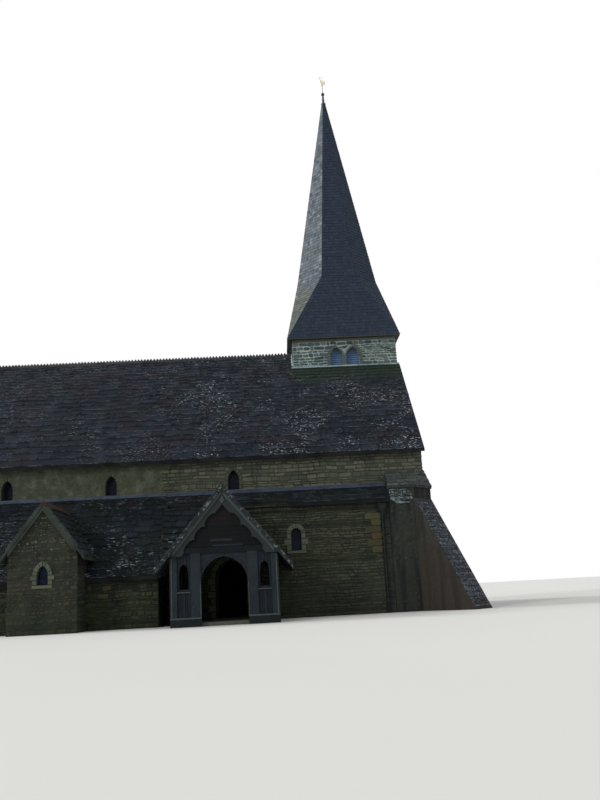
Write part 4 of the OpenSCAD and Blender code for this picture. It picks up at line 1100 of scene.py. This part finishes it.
def roofs():
    """Diminishing courses of riven slabs on every slope."""
    for way in ("north", "south"):
        side = sides(f"nave_roof_{way}", facing_up)[0]
        broken = {"chip": 0.07, "verge": 0.05, "waver": 0.02}
        heap = slabs(side, Heap(), 0.44, 0.2, slab_width, 0.042, ragged=0.024, foot=0.012, **broken)
        piece(f"nave_slabs_{way}", heap, SLABS)
    aisles, small = Heap(), Heap()
    north, south = (sides(f"{way}_aisle_roof", facing_up)[0] for way in ("north", "south"))
    (left, low), (right, high) = north.reach()
    north.loops = [box_loop(left, low, right, high)]
    valley = [(0, -5.50), (-1.2, -7.33), (-1.2, -8.1), (1.2, -8.1), (1.2, -7.33)]
    north.blocking(north.flat([on_lean(CHAPEL_X + x, y) for x, y in valley]))
    for side, foot in ((north, 0.02), (south, 0.11)):
        broken = {"chip": 0.06, "verge": 0.03, "waver": 0.02}
        slabs(side, aisles, 0.42, 0.26, slab_width, 0.038, ragged=0.02, foot=foot, **broken)
    piece("aisle_slabs", aisles, SHADED_LOW_SLABS)
    for node, end in (("chapel_roof", 0.24), ("porch_roof", 0.22), ("west_bay_roof", 0.26)):
        for side in sides(node, facing_up):
            slabs(side, small, 0.34, end, slab_width, 0.032, ragged=0.018, foot=0.02, chip=0.05, verge=0.05)
    piece("small_roof_slabs", small, SHADED_LOW_SLABS)
    aisle_eaves, bay_eaves, bay_eaves_height = -7.97, -5.93, 4.36
    head = on_lean(0.0, aisle_eaves)[2]
    fall = (bay_eaves_height - head) / (bay_eaves - aisle_eaves)
    plan = [(-0.35, bay_eaves), (-0.35, aisle_eaves), (-0.235, aisle_eaves), (-0.22, -7.89)]
    plan += [(1.812, bay_eaves)]
    outline = [(x, y, head + fall * (y - aisle_eaves)) for x, y in plan]
    bed = Heap().prisms([(x, y, on_lean(x, y)[2] - 0.12) for x, y in plan], outline)
    piece("aisle_roof_return_bed", bed, ROOF_BED)
    normal = unit((0.0, -fall, 1.0))
    end = Side(normal, float(normal @ outline[0]))
    end.loops = [end.flat(outline)]
    back = slabs(end, Heap(), 0.42, 0.26, slab_width, 0.038, ragged=0.02, foot=0.02, chip=0.06)
    piece("aisle_roof_return_slabs", back, SHADED_LOW_SLABS)


def spire():
    """Shingles on every face of the spire and its splayed foot, lighter on the faces turned to the
    north-east: partly bleaching, partly painted sunlight.
    """
    shingles = Heap()
    for node in ("spire_splay", "spire_octagon"):
        for side in sides(node, lambda n: n[2] > 0.02):
            # Faces turned towards the sun take paler shingles and the north faces darker ones: painted
            # sunlight and shade, over some real bleaching.
            sunny = float(-side.out[0] * 0.85 - side.out[1] * 0.15) / float(np.linalg.norm(side.out[:2]))
            sunlight_and_bleach = min(1.0, max(0.0, (sunny - 0.35) / 0.3))
            tones = functools.partial(rng.normal, 0.28 + 0.39 * sunlight_and_bleach, 0.025 + 0.055 * sunlight_and_bleach)
            slabs(side, shingles, 0.18, 0.17, 0.15, 0.014, ragged=0.006, foot=0.008, tones=tones)
    piece("spire_shingles", shingles, SHINGLES)


def ridge(heap, start, end, way, apex, slope, reach, thick, length, crest=0.0):
    """Angled ridge tiles from start to end along an axis, with saw teeth of height crest along the top."""
    way, origin = np.array(way, float), np.array(apex, float)
    across = np.cross((0, 0, 1), way)
    drop = reach * slope

    def at(along, points, lift):
        """Points given as (side, up), at one place along the ridge."""
        return [origin + way * along + across * side + np.array((0, 0, up + lift)) for side, up in points]

    profile = [(-reach, -drop), (0, 0), (reach, -drop), (reach, thick - drop), (0.03, thick + 0.01)]
    profile += [(-0.03, thick + 0.01), (-reach, thick - drop)]
    for a in np.arange(start, end - 0.02, length):
        b = min(a + length - 0.012, end)
        lift = rng.uniform(-0.006, 0.006)
        heap.prisms(at(b, profile, lift), at(a, profile, lift))
        teeth = 3 if crest else 0
        for i in range(teeth):
            low, high = a + (b - a) * i / teeth + 0.01, a + (b - a) * (i + 1) / teeth - 0.01
            middle = (low + high) / 2
            foot = box_loop(low, -0.022, high, 0.022)
            top = box_loop(middle - 0.02, -0.014, middle + 0.02, 0.014)
            outlines = ((foot, thick), (top, thick + crest))
            heap.prisms(*[[at(x, [(y, up)], lift)[0] for x, y in loop] for loop, up in outlines])
    return heap


def ridges():
    """The nave's serrated ridge, red clay on the chapel and grey clay on the porch."""
    nave = {"slope": NAVE_SLOPE, "reach": 0.15, "thick": 0.05, "length": 0.45, "crest": 0.085}
    crests = ridge(Heap(), -10.16, TOWER_X - TOWER_HALF, (1, 0, 0), (0, 0, NAVE_RIDGE), **nave)
    piece("nave_ridge_crests", crests, RIDGE_CLAY, stands_for=("nave_ridge_tiles",))
    for name, finish, x, start, stop, height, slope in (
        ("chapel_ridge_tiles", RED_CLAY, CHAPEL_X, -9.14, -5.58, CHAPEL_RIDGE, CHAPEL_SLOPE),
        ("porch_ridge_tiles", RIDGE_CLAY, PORCH_X, -9.67, -5.72, PORCH_RIDGE, PORCH_SLOPE),
    ):
        top = (x, 0, height + 0.02)
        clay = ridge(Heap(), start, stop, (0, 1, 0), top, slope, reach=0.13, thick=0.03, length=0.4)
        piece(name, clay, finish)


def strip_along(heap, ring, start, end):
    """A strip of one section, given as (Y, Z), from one X to another."""
    heap.prisms([(start, *p) for p in ring], [(end, *p) for p in ring])


def leadwork():
    """Lead at the heads of the low roofs, and mortar at the tower's foot and the chapel's verges."""
    lead, fillet, verges = Heap(), Heap(), Heap()
    sheet = 1.6
    for start, end, out, slope, width in (
        (-10.1, -0.36, -1, LEAN_SLOPE, 0.1),
        (-0.34, 8.46, -1, BAY_SLOPE, 0.18),
        (-10.1, SOUTH_AISLE_END, 1, LEAN_SLOPE, 0.1),
    ):
        top, low = LEAN_TOP, LEAN_TOP - slope * width
        ring = [(0.0, top + 0.035), (width, low + 0.035), (width, low + 0.06), (0.035, top + 0.045)]
        ring += [(0.03, top + 0.07), (0.0, top + 0.07)]
        marks = np.linspace(start, end, round((end - start) / sheet) + 1)
        for a, b in zip(marks, marks[1:]):
            strip_along(lead, [(out * (NAVE_SIDE + y), z) for y, z in ring], a, b - 0.01)
    for out in (-1, 1):
        y = TOWER_Y + out * TOWER_HALF
        z = nave_height(y)
        ring = [(0.0, z), (0.095, z - 0.1026), (0.095, z - 0.06), (0.08, z + 0.03), (0.0, z + 0.05)]
        strip_along(fillet, [(y + out * d, h) for d, h in ring], 5.03, 10.13)
    section = [(0.0, 0.0), (-0.09, 0.0), (-0.09, 0.05), (-0.02, 0.12), (0.0, 0.12)]
    x = TOWER_X - TOWER_HALF
    for y in (TOWER_Y - TOWER_HALF, TOWER_Y + TOWER_HALF):
        ends = (math.copysign(0.02, y), y)
        fillet.prisms(*[[(x + d, at, nave_height(at) + h) for d, h in section] for at in ends])
    for side in sides("chapel_roof", facing_up):
        edge = np.sign(side.out[0])
        marks = np.arange(0.12, 1.43, 0.22)
        for a, b in zip(marks, marks[1:]):
            loop = box_loop(a, -9.15, b - 0.01, -8.95)
            corners = [(CHAPEL_X + edge * d, y, CHAPEL_RIDGE - CHAPEL_SLOPE * d) for d, y in loop]
            verges.on(side, [side.flat(corners)], 0.06, 0.01, 0.0)
        under, depth, foot = 0.12, 0.15, 1.18
        band = [(0.0, -under), (foot, -under - CHAPEL_SLOPE * foot)]
        band += [(foot, -under - depth - CHAPEL_SLOPE * foot), (0.0, -under - depth)]
        band = [(CHAPEL_X + edge * d, CHAPEL_RIDGE + h) for d, h in band]
        verges.prisms(*[[(x, y, z) for x, z in band] for y in (-9.13, -9.0)])
    piece("lead_flashings", lead, LEAD)
    piece("tower_foot_fillets", fillet, WHITE_FILLET)
    piece("chapel_verges", verges, VERGE_MORTAR)


def rainwater():
    """An iron gutter along the bay's eaves, and a hopper at the head of the pipe."""
    iron = Heap()
    middle, height, radius, wall = -5.955, 4.275, 0.055, 0.008
    turn = np.linspace(math.pi, 2 * math.pi, 9)
    arcs = ((radius, turn), (radius - wall, turn[::-1]))
    ring = [(middle + r * math.cos(t), height + r * math.sin(t)) for r, marks in arcs for t in marks]
    strip_along(iron, ring, 2.64, 8.46)
    first_bracket, last_bracket, apart = 2.9, 8.4, 0.9
    for x in np.arange(first_bracket, last_bracket, apart):
        strip_along(iron, box_loop(-5.9, 4.262, -5.7, 4.28), x, x + 0.03)
    neck, bowl, lip = (3.82, 0.075, 3.98, 0.14), (3.98, 0.14, 4.16, 0.17), (4.16, 0.185, 4.2, 0.185)
    for low, small, high, large in (neck, bowl, lip):
        outlines = []
        for z, half in ((low, small), (high, large)):
            loop = box_loop(PIPE_X - half, PIPE_Y - half * 0.75, PIPE_X + half, -5.705)
            outlines.append([(x, y, z) for x, y in loop])
        iron.prisms(*outlines)
    piece("rainwater_gutter", iron, PIPE_IRON)


# Porch

SILL_TOP, TIE_FOOT, TIE_TOP, PLATE_FOOT = 0.28, 2.42, 2.62, 2.122


def across_porch(half_from, half_to, low, high):
    """The same upright box outline on both sides of the porch's middle."""
    return [box_loop(PORCH_X + s * half_from, low, PORCH_X + s * half_to, high) for s in (-1, 1)]


def porch_front():
    """Mouldings, boarding, studs and pegs of the porch's front, with pale oak strips up the post edges and
    door jambs as painted highlights.
    """
    front, panels, face = (Side(NORTH, -PORCH_FRONT + depth) for depth in (0.0, -0.06, 0.05))
    door = opening(PORCH_X, 1.6, SILL_TOP, 1.41, 0.88)
    boarding, gable, ledges, edges, framing, arch = (Heap() for _ in range(6))
    at, half, rail_foot, rail_top = 1.38, 0.23, 1.15, 1.24
    for s in (-1, 1):
        slit = frame_loop(opening(PORCH_X + s * at, 0.32, rail_top, 1.84, 0.24), 0.0)
        for low, high in ((SILL_TOP, rail_foot), (rail_top, TIE_FOOT)):
            panel = box_loop(PORCH_X + s * at - half, low, PORCH_X + s * at + half, high)
            boards(Side(NORTH, -PORCH_FRONT - 0.06, [panel]).blocking(slit), boarding, 0.115, 0.012)
    half = 1.5
    corners = [(PORCH_X - half, TIE_TOP), (PORCH_X + half, TIE_TOP), (PORCH_X, TIE_TOP + PORCH_SLOPE * half)]
    panels.loops = [corners]
    marks = steps(TIE_TOP, 4.3, 0.17, 0.17, 0.08)
    gable.on(panels, rows(panels, marks, WHOLE, 0.01), 0.014, 0.004)
    ledges.on(panels, [box_loop(1.7, 2.8, 2.45, 2.9), box_loop(1.76, 2.63, 2.83, 2.7)], 0.034, 0.006, 0.012)
    fall, out = 0.14, 1.75
    for s in (-1, 1):
        line = [(0.0, 0.0), (out, -PORCH_SLOPE * out), (out, -PORCH_SLOPE * out - fall), (0.0, -fall)]
        edges.on(face, [[(PORCH_X + s * x, BARGE_TOP + z) for x, z in line]], 0.02, 0.004, tones=[0.2])
    diamond = [(PORCH_X - 0.09, 4.2), (PORCH_X, 4.08), (PORCH_X + 0.09, 4.2), (PORCH_X, 4.42)]
    edges.on(face, [diamond], 0.035, 0.012)
    # The last two rows are pale strips up the corner posts' outer edges and the door's jambs: painted
    # highlights where those edges catch the light.
    for low, high, half_from, half_to, proud in (
        (0.25, 0.31, 0.8, PORCH_HALF, 0.022),
        (1.12, 1.16, 1.15, 1.61, 0.018),
        (0.31, 2.3, 1.775, 1.815, 0.018),
        (0.31, 1.41, 0.802, 0.832, 0.012),
    ):
        edges.on(front, across_porch(half_from, half_to, low, high), proud, 0.006)
    framing.on(panels, across_porch(1.345, 1.415, SILL_TOP, rail_foot), 0.04, 0.006, 0.0)
    arc, spring, drop = door["arc"], door["spring"], door["arc"] - door["half"]
    turn = np.linspace(0, math.acos(drop / (arc + 0.035)), 9)
    for s in (-1, 1):
        for a, b in zip(turn, turn[1:]):
            ring = ((arc, a), (arc + 0.07, a), (arc + 0.07, b), (arc, b))
            quad = [(PORCH_X + s * (r * math.cos(t) - drop), spring + r * math.sin(t)) for r, t in ring]
            arch.on(panels, [quad], 0.035, 0.004, tones=[0.5])
    turn = np.arange(8) * math.pi / 4
    peg_radius = 0.016
    peg = peg_radius * np.stack([np.cos(turn), np.sin(turn)], 1)
    pegs = ((0.89, (0.36, 2.34, 2.5)), (1.06, (2.34, 2.5)), (1.67, (0.4, 1.2, 2.2)), (1.8, (0.34, 2.14)))
    for x, heights in pegs:
        for s in (-1, 1):
            for z in heights:
                framing.on(front, [peg + (PORCH_X + s * x, z)], 0.012, 0.003, -0.01)
    piece("porch_panel_boards", boarding, OAK_BOARDS)
    piece("porch_gable_boards", gable, OAK_GABLE_PAINTED_SHADE)
    piece("porch_gable_ledges", ledges, OAK_SPANDREL)
    piece("porch_mouldings_and_painted_highlights", edges, OAK_EDGE_AND_HIGHLIGHTS)
    piece("porch_studs_and_pegs", framing, OAK_POSTS)
    piece("porch_arch_moulding", arch, OAK_SPANDREL)


def porch_flanks():
    """Boards, studs and rails along the open sides of the porch."""
    boarding, studs = Heap(), Heap()
    start, bays = PORCH_FRONT + 0.18, 4
    bay = (PORCH_BACK - start) / bays
    for direction, offset in ((WEST, PORCH_X + 1.8), (EAST, 1.8 - PORCH_X)):
        side = Side(direction, offset)
        turn = side.along[1]
        left, right = sorted((turn * start, turn * PORCH_BACK))
        side.loops = [box_loop(left, SILL_TOP, right, PLATE_FOOT)]
        for i in range(bays):
            slit = opening(turn * (start + bay * (i + 0.5)), 0.32, 1.15, 1.75, 0.24)
            side.blocking(frame_loop(slit, 0.0))
        boards(side, boarding, 0.13, 0.012)
        for i in range(1, bays):
            at = turn * (start + bay * i)
            studs.on(side, [box_loop(at - 0.06, SILL_TOP, at + 0.06, PLATE_FOOT)], 0.055, 0.006, 0.0)
        for i in range(bays):
            left, right = sorted((turn * (start + bay * i), turn * (start + bay * (i + 1))))
            studs.on(side, [box_loop(left + 0.06, 1.05, right - 0.06, 1.14)], 0.045, 0.006, 0.0)
    piece("porch_side_boards", boarding, OAK_BOARDS)
    piece("porch_side_studs", studs, OAK_SIDE)


for make in (
    clerestory, tower, bell_boards, low_walls, west_bay, buttresses, windows, roofs, spire, ridges, leadwork,
    rainwater, porch_front, porch_flanks,
):
    make()


# Floor, lights and camera


def stage():
    """A pale floor, white behind, an even sky, a soft key from the east and a faint fill from the front."""
    reach, depth = 1500.0, -0.002
    mesh = bpy.data.meshes.new("floor")
    mesh.from_pydata([(x, y, depth) for x, y in box_loop(-reach, -reach, reach, reach)], [], [(0, 1, 2, 3)])
    cover = Finish("studio_floor", Roughness=0.9)
    cover.wear(cover.mix(cover.noise(0.05), (206, 206, 203), (214, 214, 211)))
    mesh.materials.append(cover.material)
    floor = bpy.data.objects.new("floor", mesh)
    bpy.context.collection.objects.link(floor)
    world = bpy.data.worlds.new("studio")
    bpy.context.scene.world = world
    world.use_nodes = True
    nodes, links = world.node_tree.nodes, world.node_tree.links
    path, seen, strength = (nodes.new("ShaderNode" + kind) for kind in ("LightPath", "Math", "MapRange"))
    seen.operation = "MAXIMUM"
    links.new(path.outputs["Is Camera Ray"], seen.inputs[0])
    links.new(path.outputs["Is Glossy Ray"], seen.inputs[1])
    links.new(seen.outputs[0], strength.inputs["Value"])
    sky, backdrop = 0.7, 1.0
    strength.inputs["To Min"].default_value, strength.inputs["To Max"].default_value = sky, backdrop
    background = nodes["Background"]
    background.inputs["Color"].default_value = (1, 1, 1, 1)
    links.new(strength.outputs["Result"], background.inputs["Strength"])
    key, fill = (2.0, 20, (-0.8, 0.15, 0.42)), (0.9, 12, (-0.7, -0.62, 0.5))
    for name, (energy, spread, towards) in (("key", key), ("fill", fill)):
        sun = bpy.data.lights.new(name, "SUN")
        sun.energy, sun.angle = energy, math.radians(spread)
        lamp = bpy.data.objects.new(name, sun)
        lamp.rotation_mode = "QUATERNION"
        lamp.rotation_quaternion = Vector(towards).to_track_quat("Z", "Y")
        bpy.context.collection.objects.link(lamp)


def camera():
    """The photograph's viewpoint, in front of the porch and a little to its west."""
    eye, pitch, yaw, roll = (4.05, -38.0, 0.97), math.radians(13.2), math.radians(2.0), 0.054
    focal, picture_height, sensor = 816, 800, 36.0
    forward = Vector((math.sin(yaw) * math.cos(pitch), math.cos(yaw) * math.cos(pitch), math.sin(pitch)))
    right = Vector((math.cos(yaw), -math.sin(yaw), 0))
    up = right.cross(forward)
    tilted_right = right * math.cos(roll) - up * math.sin(roll)
    tilted_up = up * math.cos(roll) + right * math.sin(roll)
    lens = bpy.data.cameras.new("camera")
    lens.sensor_width, lens.lens, lens.clip_end = sensor, focal / picture_height * sensor, 1000
    made = bpy.data.objects.new("camera", lens)
    axes = Matrix((tilted_right, tilted_up, -forward)).transposed()
    made.matrix_world = Matrix.Translation(eye) @ axes.to_4x4()
    bpy.context.collection.objects.link(made)
    bpy.context.scene.camera = made


stage()
camera()
bpy.context.scene.view_settings.view_transform = "Standard"
